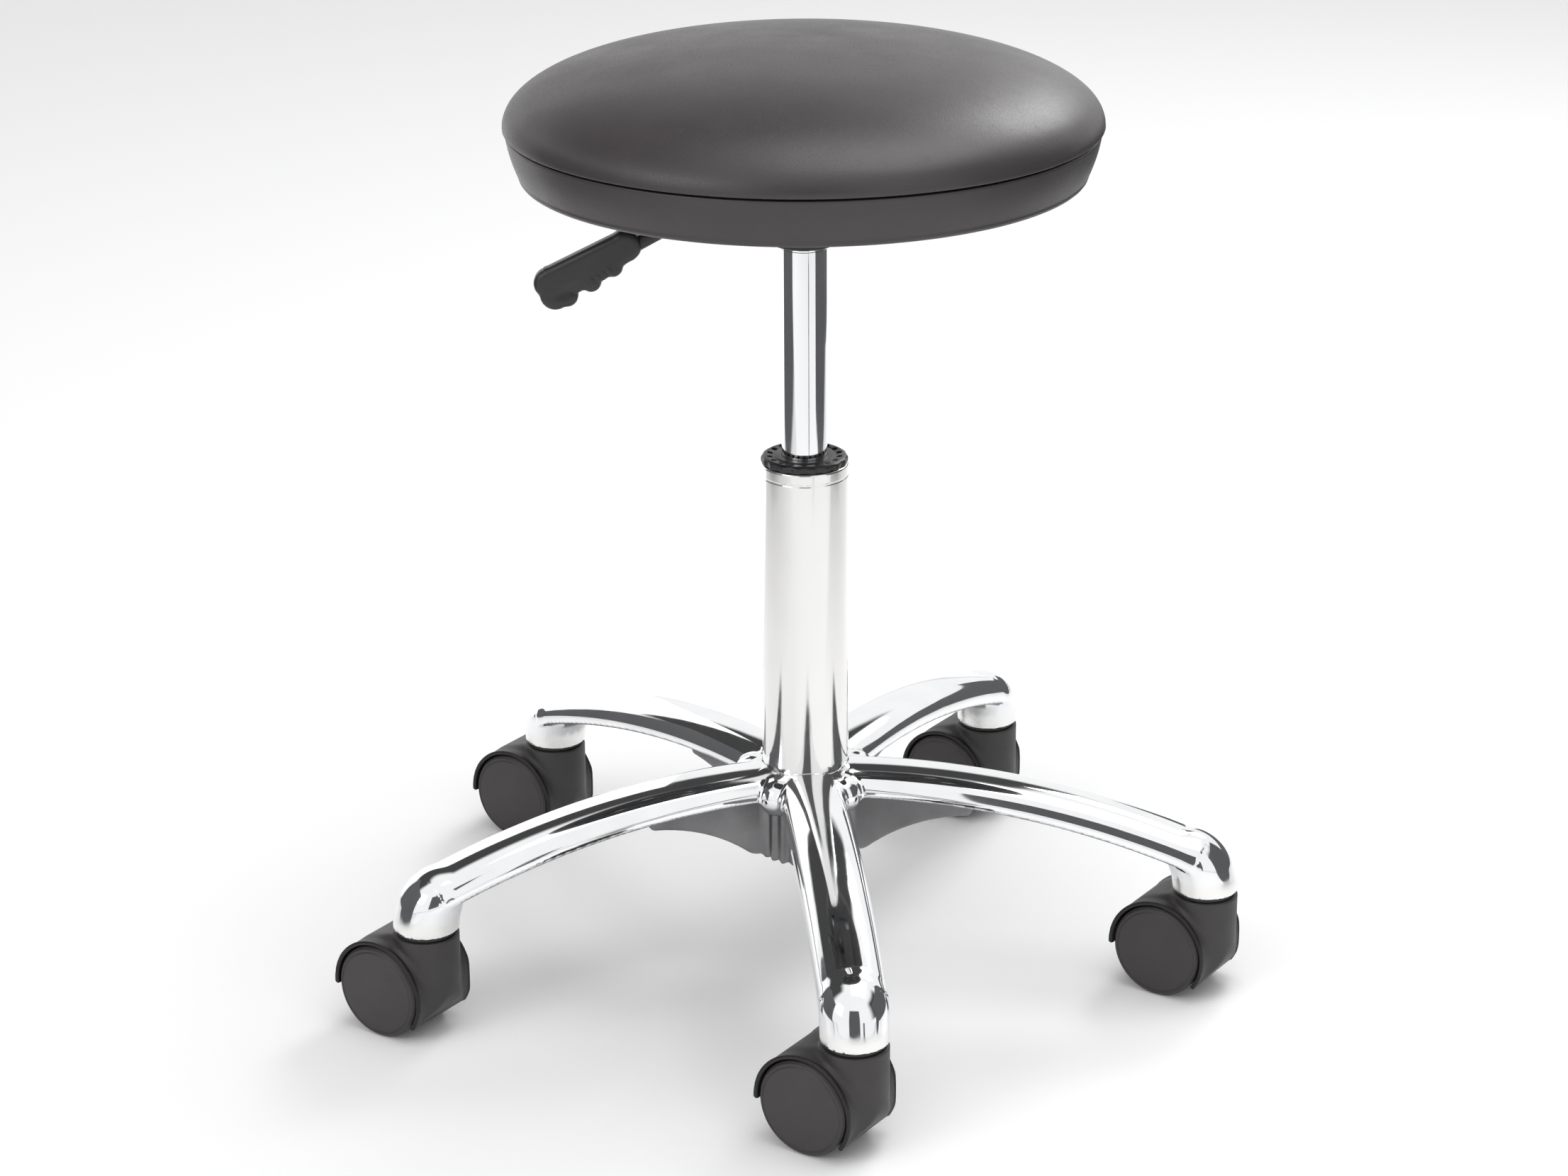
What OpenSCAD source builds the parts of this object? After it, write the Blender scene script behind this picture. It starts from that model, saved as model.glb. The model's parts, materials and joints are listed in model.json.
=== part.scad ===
// Rolling stylist stool: a round padded seat on a gas lift, over a five-arm star base with
// twin-wheel castors. Millimetres, +Z up. The origin is on the floor, under the column's axis.
// The seat is drawn at its highest, with its release lever to the left (-X).

/* [Seat] */
// Seat diameter at the seam between the top panel and the side band
seat_d = 357; // [340:1:380]
// Height of the seat's underside above the floor, with the lift fully raised
seat_under_z = 515.5; // [515.5:0.5:520]
// Height of the side band
band_h = 30.5; // [28:0.5:36]
// How much the band's radius shrinks from the seam to its lower edge
band_taper = 11; // [8:0.5:14]
// Crown of the padded top above the seam
crown_h = 46.7; // [40:0.1:55]
// Thickness of the vinyl cover
vinyl_t = 1.2; // [1:0.1:1.6]
// Thickness of the seat board
board_t = 12; // [11:0.5:13]

/* [Lever] */
// Diameter of the lever's steel rod
lever_rod_d = 8.5; // [8:0.5:9]
// Slope of the lever below the horizontal, beyond its bend
lever_slope = 29; // [26:1:32]
// Thickness of the moulded grip
grip_t = 13; // [12:0.5:16]

/* [Gas lift] */
// Diameter of the outer column tube
column_d = 54; // [52:1:56]
// Height of the column tube's upper end
column_top_z = 334; // [325:1:340]
// Diameter of the sliding gas cylinder
cylinder_d = 28; // [27:0.5:29]
// Diameter of the piston rod
piston_rod_d = 10; // [9:1:11]

/* [Star base] */
// Radius of the circle on which the castor stems stand
stem_circle_r = 255; // [250:1:260]
// Direction of the front arm, counted anticlockwise from +X
front_arm_dir = -83.7; // [-90:0.1:-80]
// Width of an arm
arm_w = 41.6; // [40:0.2:42]
// Depth of an arm, from its crest to the lower edge of its sides
arm_depth = 17.5; // [16:0.5:19]
// Height of the arms' crest above the floor, where it is highest
crest_z = 137.6; // [136:0.1:139]
// Wall thickness of the hollow arms
arm_wall = 4.5; // [4:0.5:6]

/* [Castors] */
// Diameter of a wheel
wheel_d = 59.6; // [58:0.2:60]
// Width across the outer faces of a castor's two wheels
castor_w = 52.8; // [50:0.2:54]
// Distance of the axle behind the stem
trail = 20.2; // [19:0.1:22]
// Direction in which every castor trails, counted anticlockwise from +X
trail_dir = 145.9; // [0:0.1:359.9]

/* [Hidden] */
CASTORS = ["front", "right_front", "right_back", "left_back", "left_front"];
CASTOR_PIECES = ["hood", "axle", "wheel_a", "wheel_b"];

$fn = 96;
arms = 5;
arm_step = 360 / arms;
run_gap = 0.05;       // radial clearance of a running fit
face_gap = 0.1;       // gap between faces that lie on each other
fine = 0.01;          // lets a cutter pass through the face it opens

// seat heights, from the underside up
seat_r = seat_d / 2;
band_low_r = seat_r - band_taper;
seam_z = seat_under_z + band_h;
seam_gap = 0.5;
roll_r = 3.5;                                   // rolled lower edge of the band
board_z = seat_under_z + vinyl_t + face_gap;
board_top_z = board_z + board_t;
board_r = band_low_r - roll_r - face_gap;
hem_r = 142;                                    // inner edge of the vinyl turned in under the board
dust_t = 0.5;
dust_z = seat_under_z - face_gap - dust_t;
dust_r = 152;
staple_r = 147;
staple_count = 24;
plate_t = 2.6;
plate_z = dust_z - face_gap - plate_t;
plate_w = 156;
plate_lip = 7;
bolt_pitch = 116;                               // square pattern of the plate's bolts
bolt_d = 6;
nut_flange_t = 1.5;
washer_t = 1.2;

// lift heights
socket_low_z = 472;
cylinder_top_z = 497;
cylinder_low_z = 214;
taper_drop = 0.7;                               // radius lost over the upper taper
cylinder_r = cylinder_d / 2;
column_r = column_d / 2;
column_wall = 1.8;
column_foot_z = 76;
column_taper = 1.5;                             // radius lost over the lower taper
hub_top_z = 141;
collar_h = 4.6;
pin_r = 4;
pin_stands = 3.4;
pin_low_z = 484;

// lever
lever_r = lever_rod_d / 2;
lever_z = cylinder_top_z + pin_stands + 0.3 + lever_r;
pivot_x = -22;
pivot_r = 2.5;
bend_x = -40;
grip_start = 66;                                // distance of the grip's root from the bend
rod_in_grip = 14;
cheek_t = 2.5;
cheek_gap = lever_r + 0.7;

// star base
arc_r = 549;                                    // radius of the arms' arched crest
arc_top_s = 63;                                 // distance from the column at which the crest is highest
crown_r = 24;                                   // radius of the arms' rounded upper face
knuckle_r = 20.5;
knuckle_s = stem_circle_r - 3;
hub_r = 31;
hub_low_z = 75;
socket_r = 20.4;
socket_z = 70;
socket_top_z = 84;
stem_hole_r = 5.8;
stem_hole_top_z = 93;
web_t = 7;
web_tip_s = 101;
boss_r = 9;                                     // round swellings on the hub, between the arms
boss_s = 34.5;
boss_z = 124;

// castors
wheel_r = wheel_d / 2;
wheel_gap = 0.9;
fender_t = 2.3;
fender_r = wheel_r + wheel_gap + fender_t;
fender_half_w = castor_w / 2 - 1;
web_half = 4.5;                                 // half thickness of the hood's centre web
wheel_in = 5.5;                                 // distance of a wheel's inner face from the centre
axle_r = 3;
neck_r = 20.2;
neck_top_z = 67;
spindle_r = 4;

function arm_dir(i) = front_arm_dir + i * arm_step;
function arc_angle(s) = asin((s - arc_top_s) / arc_r);

// Points of the crowned top's outline, from the rim to the axis, for a crown of this radius and height.
function crown_points(r, h, z, steps = 16) = [
    for (i = [0 : steps])
        let (a = 90 * i / steps)
        [r * pow(cos(a), 2 / 2.31), z + h * pow(sin(a), 2 / 2.19)]
];

module ring(r_out, r_in, z0, z1) {
    difference() {
        translate([0, 0, z0]) cylinder(r = r_out, h = z1 - z0);
        translate([0, 0, z0 - 1]) cylinder(r = r_in, h = z1 - z0 + 2);
    }
}

module at_arms() {
    for (i = [0 : arms - 1]) rotate([0, 0, arm_dir(i)]) children();
}

module at_stems() {
    at_arms() translate([stem_circle_r, 0, 0]) children();
}

module at_bolts() {
    for (x = [-1, 1], y = [-1, 1]) translate([x * bolt_pitch / 2, y * bolt_pitch / 2, 0]) children();
}

// ---- star base ----

// Outline of an arm's cross-section: +X is up, Y is across the arm.
module arm_section(wall) {
    intersection() {
        translate([arc_r - crown_r, 0]) circle(r = crown_r - wall);
        translate([arc_r - arm_depth - (wall > 0 ? 3 : 0), -arm_w / 2 + wall])
            square([arm_depth + 10, arm_w - 2 * wall]);
    }
}

// The arm's section swept along its arched crest, between two distances from the column.
module arm_sweep(s0, s1, wall = 0) {
    translate([arc_top_s, 0, crest_z - arc_r])
        rotate([-90, 0, 0])
            rotate([0, 0, -90])
                rotate([0, 0, arc_angle(s0)])
                    rotate_extrude(angle = arc_angle(s1) - arc_angle(s0), $fn = 180)
                        arm_section(wall);
}

module knuckle() {
    end_a = asin((knuckle_s - arc_top_s) / (arc_r - knuckle_r));
    centre_z = crest_z - arc_r + (arc_r - knuckle_r) * cos(end_a);
    intersection() {
        translate([knuckle_s, 0, centre_z]) sphere(r = knuckle_r);
        translate([knuckle_s - 30, -30, socket_top_z - 8]) cube([60, 60, 60]);
    }
}

// The upright web under an arm, with its hollow curved lower edge.
module arm_web() {
    curve_r = 120;
    rotate([90, 0, 0])
        translate([0, 0, -web_t / 2])
            linear_extrude(web_t)
                difference() {
                    polygon([[24, hub_low_z + 2], [hub_r + 3, hub_low_z + 4], [web_tip_s + 6, 108],
                             [web_tip_s + 6, 124], [24, 124]]);
                    translate([web_tip_s + 16, 107 - curve_r]) circle(r = curve_r, $fn = 180);
                }
}

module star_arm() {
    difference() {
        arm_sweep(20, knuckle_s);
        arm_sweep(44, knuckle_s - 22, arm_wall);
    }
    knuckle();
    arm_web();
    translate([stem_circle_r, 0, socket_z]) cylinder(r = socket_r, h = socket_top_z - socket_z);
}

// Tapered seat for the column, open at the foot.
module column_bore() {
    fit_r = column_r + face_gap / 2;
    translate([0, 0, column_foot_z])
        cylinder(r1 = fit_r - column_taper, r2 = fit_r, h = hub_top_z - column_foot_z);
    translate([0, 0, hub_top_z - fine]) cylinder(r = fit_r, h = 20);
    translate([0, 0, hub_low_z - 1]) cylinder(r = column_r - column_taper - 1.5, h = 5);
}

module star_base() {
    color("silver")
        difference() {
            union() {
                union() {
                    translate([0, 0, hub_low_z]) cylinder(r = hub_r, h = hub_top_z - hub_low_z);
                    at_arms() star_arm();
                }
                rotate([0, 0, arm_step / 2]) at_arms() translate([boss_s, 0, boss_z]) sphere(r = boss_r);
            }
            column_bore();
            at_stems()
                translate([0, 0, socket_z - 1]) cylinder(r = stem_hole_r, h = stem_hole_top_z - socket_z + 1);
        }
}

// ---- column and lift ----

module column_tube() {
    color("gainsboro")
        difference() {
            union() {
                translate([0, 0, hub_top_z])
                    cylinder(r = column_r, h = column_top_z - hub_top_z);
                translate([0, 0, column_foot_z])
                    cylinder(r1 = column_r - column_taper, r2 = column_r, h = hub_top_z - column_foot_z);
            }
            translate([0, 0, column_foot_z - 1])
                cylinder(r = column_r - column_taper - column_wall, h = column_top_z);
        }
}

// Toothed guide bush: a flange with notches and pockets, over a sleeve inside the column.
module guide_collar() {
    teeth = 18;
    sleeve_r = column_r - column_taper - column_wall - face_gap;
    top_z = column_top_z + collar_h;
    color("#1c1c1e")
        difference() {
            union() {
                ring(column_r - 0.5, cylinder_r + run_gap, column_top_z + face_gap, top_z - 1);
                ring(column_r - 1.5, cylinder_r + run_gap, column_top_z + face_gap, top_z);
                ring(sleeve_r, cylinder_r + run_gap, column_top_z - 90, column_top_z + 1);
            }
            for (i = [0 : teeth - 1])
                rotate([0, 0, i * 360 / teeth]) {
                    translate([column_r + 0.8, 0, top_z - 3]) cylinder(r = 2, h = 6);
                    rotate([0, 0, 180 / teeth])
                        translate([column_r - 6, 0, top_z - 2.5]) cylinder(r = 1.7, h = 5);
                }
        }
}

module column_foot() {
    color("dimgray")
        ring(column_r - column_taper - column_wall - 0.05, piston_rod_d / 2 + 1,
             column_foot_z + 1, column_foot_z + 5);
}

bearing_z = column_foot_z + 5.1;
race_t = 1.6;
ball_r = 1.6;
ball_z = bearing_z + race_t + ball_r + 0.02;
upper_race_z = ball_z + ball_r + 0.02;

module bearing_lower_race() {
    color("silver") ring(11, piston_rod_d / 2 + 1, bearing_z, bearing_z + race_t);
}

module bearing_balls() {
    balls = 9;
    color("white")
        for (i = [0 : balls - 1])
            rotate([0, 0, i * 360 / balls]) translate([8.5, 0, ball_z]) sphere(r = ball_r, $fn = 32);
}

module bearing_upper_race() {
    color("silver") ring(11, piston_rod_d / 2 + 0.02, upper_race_z, upper_race_z + race_t);
}

shoulder_z = upper_race_z + race_t + 0.05;

module rubber_buffer() {
    color("#202020") ring(9.5, piston_rod_d / 2 + 1, shoulder_z + 3.1, shoulder_z + 11);
}

// Piston rod with its foot end, shoulder and piston head.
module piston_rod() {
    head_z = cylinder_low_z + 12;
    color("silver")
        difference() {
            union() {
                translate([0, 0, column_foot_z - 5])
                    cylinder(r = piston_rod_d / 2, h = head_z - column_foot_z + 5);
                translate([0, 0, shoulder_z]) cylinder(r = 8, h = 3);
                translate([0, 0, head_z]) cylinder(r = cylinder_r - 2 - run_gap, h = 9);
            }
            ring(piston_rod_d, piston_rod_d / 2 - 1, column_foot_z - 3, column_foot_z - 1.8);
            ring(cylinder_r, cylinder_r - 3.5, head_z + 3, head_z + 6);
        }
}

module foot_washer() {
    color("silver") ring(9, piston_rod_d / 2 + 0.05, column_foot_z - 0.9, column_foot_z + 0.9);
}

module foot_clip() {
    color("goldenrod")
        difference() {
            ring(7.5, piston_rod_d / 2 - 0.95, column_foot_z - 2.9, column_foot_z - 1.9);
            translate([0, -3, column_foot_z - 4]) cube([12, 6, 4]);
        }
}

// Pressure tube: plain over its sliding length, with a taper at the top that wedges in the seat's socket.
module gas_cylinder() {
    bore_r = cylinder_r - 2;
    color("gainsboro")
        difference() {
            union() {
                translate([0, 0, cylinder_low_z])
                    cylinder(r = cylinder_r, h = socket_low_z - 1 - cylinder_low_z);
                translate([0, 0, socket_low_z - 1])
                    cylinder(r1 = cylinder_r, r2 = cylinder_r - taper_drop,
                             h = cylinder_top_z - socket_low_z + 1);
            }
            translate([0, 0, cylinder_low_z + 8])
                cylinder(r = bore_r, h = pin_low_z - 14 - cylinder_low_z);
            translate([0, 0, cylinder_low_z - 1])
                cylinder(r = piston_rod_d / 2 + run_gap, h = 20);
            translate([0, 0, pin_low_z - 10]) cylinder(r = pin_r + run_gap, h = 40);
        }
}

module release_pin() {
    color("white")
        translate([0, 0, pin_low_z])
            cylinder(r = pin_r, h = cylinder_top_z + pin_stands - pin_low_z);
}

// ---- seat ----

// Pressed plate with turned-down lips, the taper socket, and the two cheeks that hold the lever's pin.
module seat_plate() {
    plate_top = plate_z + plate_t;
    chamber_r = 15;
    socket_out_r = 19;
    color("#2b2b2e")
        difference() {
            union() {
                translate([-plate_w / 2, -plate_w / 2, plate_z]) cube([plate_w, plate_w, plate_t]);
                for (a = [0 : 90 : 270])
                    rotate([0, 0, a])
                        translate([plate_w / 2 - plate_t, -plate_w / 2 + 12, plate_z - plate_lip])
                            cube([plate_t, plate_w - 24, plate_lip + 1]);
                translate([0, 0, socket_low_z])
                    cylinder(r = socket_out_r, h = plate_top - socket_low_z - 1);
                for (m = [0, 1])
                    mirror([0, m, 0])
                        translate([pivot_x - 9, cheek_gap, lever_z - 8])
                            cube([24, cheek_t, plate_z - lever_z + 9]);
            }
            for (a = [0 : 90 : 270])
                rotate([0, 0, a])
                    translate([plate_w / 2, plate_w / 2, 0])
                        rotate([0, 0, 45]) cube([14, 40, 1200], center = true);
            translate([0, 0, socket_low_z])
                cylinder(r1 = cylinder_r + 0.02, r2 = cylinder_r - taper_drop + 0.02,
                         h = cylinder_top_z - socket_low_z + fine);
            translate([0, 0, socket_low_z - 1]) cylinder(r = cylinder_r + 0.02, h = 1 + fine);
            translate([0, 0, cylinder_top_z]) cylinder(r = chamber_r, h = plate_top - cylinder_top_z - 1.2);
            translate([-socket_out_r - 5, -cheek_gap, lever_z - lever_r - 3])
                cube([socket_out_r + 17, 2 * cheek_gap, plate_z - lever_z + lever_r + 3 - fine]);
            translate([pivot_x, 0, lever_z])
                rotate([90, 0, 0]) cylinder(r = pivot_r + 0.02, h = 60, center = true);
            at_bolts() translate([0, 0, plate_z - 1]) cylinder(r = bolt_d / 2 + 0.3, h = plate_t + 2);
        }
}

module lever_pivot_pin() {
    half = cheek_gap + cheek_t + 0.2;
    color("silver")
        translate([pivot_x, 0, lever_z])
            rotate([90, 0, 0]) {
                cylinder(r = pivot_r, h = 2 * half, center = true);
                for (m = [0, 1]) mirror([0, 0, m]) translate([0, 0, half]) cylinder(r = 3.8, h = 1.4);
            }
}

module plate_bolts() {
    head_top = plate_z - washer_t - 2 * face_gap;
    color("dimgray")
        at_bolts() {
            translate([0, 0, head_top - 4]) cylinder(r = 5.77, h = 4, $fn = 6);
            translate([0, 0, head_top - fine]) cylinder(r = bolt_d / 2 - 0.05, h = board_top_z - head_top - 1.5);
        }
}

module bolt_washers() {
    color("silver")
        at_bolts() ring(8, bolt_d / 2 + 0.2, plate_z - washer_t - face_gap, plate_z - face_gap);
}

module tee_nut(grow) {
    translate([0, 0, board_top_z - nut_flange_t - grow])
        cylinder(r = 9 + grow, h = nut_flange_t + 2 * grow);
    translate([0, 0, board_z + 3 - grow])
        cylinder(r = 4 + grow, h = board_t - 3 - nut_flange_t / 2);
}

module tee_nuts() {
    color("silver")
        at_bolts()
            difference() {
                tee_nut(0);
                translate([0, 0, board_z]) cylinder(r = bolt_d / 2, h = board_t + 2);
            }
}

module plywood_board() {
    color("burlywood")
        difference() {
            translate([0, 0, board_z]) cylinder(r = board_r, h = board_t);
            at_bolts() {
                translate([0, 0, board_z - 1]) cylinder(r = bolt_d / 2 + 0.3, h = board_t);
                tee_nut(face_gap);
            }
        }
}

// Radius of the band's outer face at height z.
function band_r(z) = band_low_r + band_taper * (z - seat_under_z - roll_r) / (band_h - roll_r);

module foam_pad() {
    foam_z = board_top_z + face_gap;
    inside = vinyl_t + 0.4;
    color("khaki")
        rotate_extrude()
            polygon(concat(
                [[0, foam_z], [band_r(foam_z) - inside, foam_z]],
                crown_points(seat_r - 1 - inside, crown_h - inside, seam_z)
            ));
}

module top_cover() {
    color("#39383a")
        rotate_extrude()
            difference() {
                polygon(concat([[0, seam_z]], crown_points(seat_r, crown_h, seam_z)));
                polygon(concat([[-1, seam_z - 1], [seat_r - vinyl_t, seam_z - 1]],
                               crown_points(seat_r - vinyl_t, crown_h - vinyl_t, seam_z),
                               [[-1, seam_z + crown_h - vinyl_t]]));
            }
}

// Side band: it leans in towards the bottom, rolls under the board and ends in a stapled hem.
module band_cover() {
    top_z = seam_z - seam_gap;
    low_z = seat_under_z + roll_r;
    color("#39383a")
        rotate_extrude() {
            polygon([[band_low_r - vinyl_t, low_z], [band_low_r, low_z],
                     [seat_r - 0.8, top_z], [seat_r - 0.8 - vinyl_t, top_z]]);
            translate([band_low_r - roll_r, low_z])
                intersection() {
                    difference() {
                        circle(r = roll_r);
                        circle(r = roll_r - vinyl_t);
                    }
                    translate([0, -roll_r]) square([roll_r, roll_r]);
                }
            translate([hem_r, seat_under_z]) square([band_low_r - roll_r - hem_r, vinyl_t]);
        }
}

module dust_cover() {
    color("#1a1a1a")
        difference() {
            translate([0, 0, dust_z]) cylinder(r = dust_r, h = dust_t);
            at_bolts() translate([0, 0, dust_z - 1]) cylinder(r = bolt_d / 2 + 0.3, h = 3);
        }
}

module staples() {
    wire = 0.9;
    crown = 10;
    color("silver")
        for (i = [0 : staple_count - 1])
            rotate([0, 0, (i + 0.5) * 360 / staple_count])
                translate([staple_r, 0, 0])
                    difference() {
                        translate([-wire / 2, -crown / 2, dust_z - wire]) cube([wire, crown, 8]);
                        translate([-wire, -crown / 2 + wire, dust_z]) cube([2 * wire, crown - 2 * wire, 9]);
                    }
}

// ---- lever ----

module lever_rod() {
    inner_x = 3;
    color("dimgray")
        difference() {
            union() {
                translate([bend_x, 0, lever_z])
                    rotate([0, 90, 0]) cylinder(r = lever_r, h = inner_x - bend_x - 1);
                translate([inner_x - 1, 0, lever_z])
                    rotate([0, 90, 0]) cylinder(r1 = lever_r, r2 = lever_r - 1, h = 1);
                translate([bend_x, 0, lever_z]) sphere(r = lever_r + 0.2);
                translate([bend_x, 0, lever_z])
                    rotate([0, -90 - lever_slope, 0]) cylinder(r = lever_r, h = grip_start + rod_in_grip);
            }
            translate([pivot_x, 0, lever_z])
                rotate([90, 0, 0]) cylinder(r = pivot_r + run_gap, h = 40, center = true);
        }
}

// The grip in the lever's own plane: X runs outwards from the bend, Y is up, Z is its thickness.
module grip_body() {
    difference() {
        union() {
            linear_extrude(grip_t)
                polygon([[67, 7], [74, 12.3], [125, 14.4], [131, 5], [129, -4], [118, -8], [96, -9],
                         [74, -6]]);
            // root, tip and finger lobes: centre along, centre up, radius
            for (c = [[74.5, 2.9, 9.4], [127, 5.4, 9], [127, -2.5, 9.3], [121, -6.5, 6.8],
                      [104, -6, 6.3], [88, -4.4, 6.2]])
                translate([c[0], c[1], 0]) cylinder(r = c[2], h = grip_t);
        }
        for (c = [[112.5, -15.5, 5], [96, -14.3, 5]])
            translate([c[0], c[1], -1]) cylinder(r = c[2], h = grip_t + 2);
    }
}

module lever_grip() {
    color("#202022")
        difference() {
            translate([bend_x, 0, lever_z])
                rotate([0, -lever_slope, 0])
                    mirror([1, 0, 0]) rotate([90, 0, 0]) translate([0, 0, -grip_t / 2]) grip_body();
            translate([bend_x, 0, lever_z])
                rotate([0, -90 - lever_slope, 0])
                    cylinder(r = lever_r + 0.02, h = grip_start + rod_in_grip + face_gap);
        }
}

// ---- castors ----

module castor_stems() {
    color("silver")
        at_stems()
            difference() {
                union() {
                    translate([0, 0, socket_z - 0.4]) cylinder(r = stem_hole_r - 0.4, h = 22.6);
                    translate([0, 0, neck_top_z + 0.3]) cylinder(r = 13, h = socket_z - neck_top_z - 0.4);
                    translate([0, 0, 40]) cylinder(r = spindle_r, h = 28);
                }
                ring(stem_hole_r + 1, stem_hole_r - 1.1, socket_z + 15, socket_z + 18);
            }
}

module stem_grip_rings() {
    color("goldenrod")
        at_stems()
            difference() {
                ring(stem_hole_r - 0.05, stem_hole_r - 1.05, socket_z + 15.1, socket_z + 17.9);
                translate([0, -1, socket_z + 10]) cube([10, 2, 12]);
            }
}

// Places its children at a castor's stem, with +X towards its axle.
module at_castor(i) {
    rotate([0, 0, arm_dir(i)])
        translate([stem_circle_r, 0, 0])
            rotate([0, 0, trail_dir - arm_dir(i)]) children();
}

// A shape drawn in the castor's middle plane (X back, Y up), thickened equally to both sides.
module both_sides(half) {
    rotate([90, 0, 0]) translate([0, 0, -half]) linear_extrude(2 * half) children();
}

module castor_hood() {
    corner_r = 21;
    sloped_half = 15;
    difference() {
        union() {
            // neck, rounded under at its front
            intersection() {
                translate([0, 0, 8]) cylinder(r = neck_r, h = neck_top_z - 8);
                both_sides(neck_r + 1)
                    union() {
                        translate([-neck_r, 35]) square([2 * neck_r, neck_top_z - 35]);
                        translate([-neck_r + corner_r, 35]) circle(r = corner_r);
                    }
            }
            // slope from the neck's top down to the fender
            both_sides(sloped_half)
                polygon([[0, 40], [0, neck_top_z], [neck_r - 3, neck_top_z - 1], [trail + 17, wheel_r + 28],
                         [trail + 17, 40]]);
            // fender over both wheels
            translate([trail, 0, wheel_r])
                rotate([90, 0, 0]) cylinder(r = fender_r, h = 2 * fender_half_w, center = true);
        }
        // wheel wells
        for (m = [0, 1])
            mirror([0, m, 0])
                translate([trail, -web_half, wheel_r])
                    rotate([90, 0, 0]) cylinder(r = wheel_r + wheel_gap, h = 30);
        // open underside, from behind the axle down to the front
        both_sides(40)
            polygon([[trail + 60, wheel_r + 1], [trail, wheel_r - 7], [trail - 25, wheel_r - 18.5],
                     [trail - 60, -2], [trail - 60, -20], [trail + 60, -20]]);
        translate([trail, 0, wheel_r]) rotate([90, 0, 0]) cylinder(r = axle_r + 0.02, h = 60, center = true);
        translate([0, 0, 39.5]) cylinder(r = spindle_r + run_gap, h = 40);
    }
}

module castor_axle() {
    translate([trail, 0, wheel_r])
        rotate([90, 0, 0]) cylinder(r = axle_r, h = castor_w - 8, center = true);
}

// One wheel, on the +Y side: rounded tread, slightly domed face, and a hollow inner side.
module castor_wheel() {
    width = castor_w / 2 - wheel_in;
    edge = 1.6;
    translate([trail, wheel_in, wheel_r])
        rotate([-90, 0, 0])
            difference() {
                union() {
                    translate([0, 0, edge]) cylinder(r = wheel_r, h = width - 2 * edge);
                    cylinder(r1 = wheel_r - edge, r2 = wheel_r, h = edge);
                    translate([0, 0, width - edge]) cylinder(r1 = wheel_r, r2 = wheel_r - edge, h = edge);
                    translate([0, 0, width - fine]) cylinder(r1 = wheel_r - edge, r2 = wheel_r - 8, h = 0.8);
                }
                ring(wheel_r - 5, 7, -1, width - 6);
                translate([0, 0, -1]) cylinder(r = axle_r + run_gap, h = width - 2.5);
            }
}

module castor_piece(i, piece) {
    at_castor(i) {
        if (piece == "hood") color("#3b3a3c") castor_hood();
        if (piece == "axle") color("silver") castor_axle();
        if (piece == "wheel_a") color("#333234") castor_wheel();
        if (piece == "wheel_b") color("#333234") mirror([0, 1, 0]) castor_wheel();
    }
}

star_base();
column_tube();
guide_collar();
column_foot();
bearing_lower_race();
castor_stems();
stem_grip_rings();
piston_rod();
bearing_upper_race();
bearing_balls();
rubber_buffer();
foot_washer();
foot_clip();
gas_cylinder();
seat_plate();
lever_pivot_pin();
plate_bolts();
bolt_washers();
tee_nuts();
plywood_board();
foam_pad();
top_cover();
band_cover();
dust_cover();
staples();
lever_rod();
lever_grip();
release_pin();
for (i = [0 : len(CASTORS) - 1], p = CASTOR_PIECES)
    castor_piece(i, p);
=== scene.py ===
import json
import math

import bpy
import numpy as np
from mathutils import Matrix, Vector


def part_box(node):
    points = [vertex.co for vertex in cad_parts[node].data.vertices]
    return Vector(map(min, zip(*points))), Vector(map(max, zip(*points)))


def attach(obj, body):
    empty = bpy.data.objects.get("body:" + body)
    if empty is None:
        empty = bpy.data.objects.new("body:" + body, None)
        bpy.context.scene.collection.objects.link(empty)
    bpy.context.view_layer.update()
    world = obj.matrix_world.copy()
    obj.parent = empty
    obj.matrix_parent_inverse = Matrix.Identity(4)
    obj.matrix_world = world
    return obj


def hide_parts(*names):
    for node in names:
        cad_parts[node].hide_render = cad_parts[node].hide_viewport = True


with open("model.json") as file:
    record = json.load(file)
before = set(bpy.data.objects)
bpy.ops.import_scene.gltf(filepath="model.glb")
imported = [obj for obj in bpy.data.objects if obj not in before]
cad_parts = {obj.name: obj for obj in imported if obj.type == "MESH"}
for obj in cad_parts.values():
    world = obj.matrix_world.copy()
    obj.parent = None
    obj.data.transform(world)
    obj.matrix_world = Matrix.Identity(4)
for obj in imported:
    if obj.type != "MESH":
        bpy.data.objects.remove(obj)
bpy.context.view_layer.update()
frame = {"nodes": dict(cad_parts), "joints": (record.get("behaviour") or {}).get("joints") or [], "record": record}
NODES = frame["nodes"]
JOINTS = {j["name"]: j for j in frame["joints"]}
MM = 0.001
FRONT_ARM = math.atan2(JOINTS["front_swivel"]["pos_m"][1], JOINTS["front_swivel"]["pos_m"][0])
ARM_STEP = 2 * math.pi / 5
STEM_R = 255.0
CASTORS = ["front", "right_front", "right_back", "left_back", "left_front"]


def low(node):
    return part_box(node)[0] / MM


def high(node):
    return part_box(node)[1] / MM


# --- fields, in millimetres ---

def smin(a, b, k):
    h = np.clip(0.5 + 0.5 * (b - a) / k, 0, 1)
    return b + (a - b) * h - k * h * (1 - h)


def smax(a, b, k):
    return -smin(-a, -b, k)


def step01(x, a, b):
    t = np.clip((x - a) / (b - a), 0, 1)
    return t * t * (3 - 2 * t)


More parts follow.
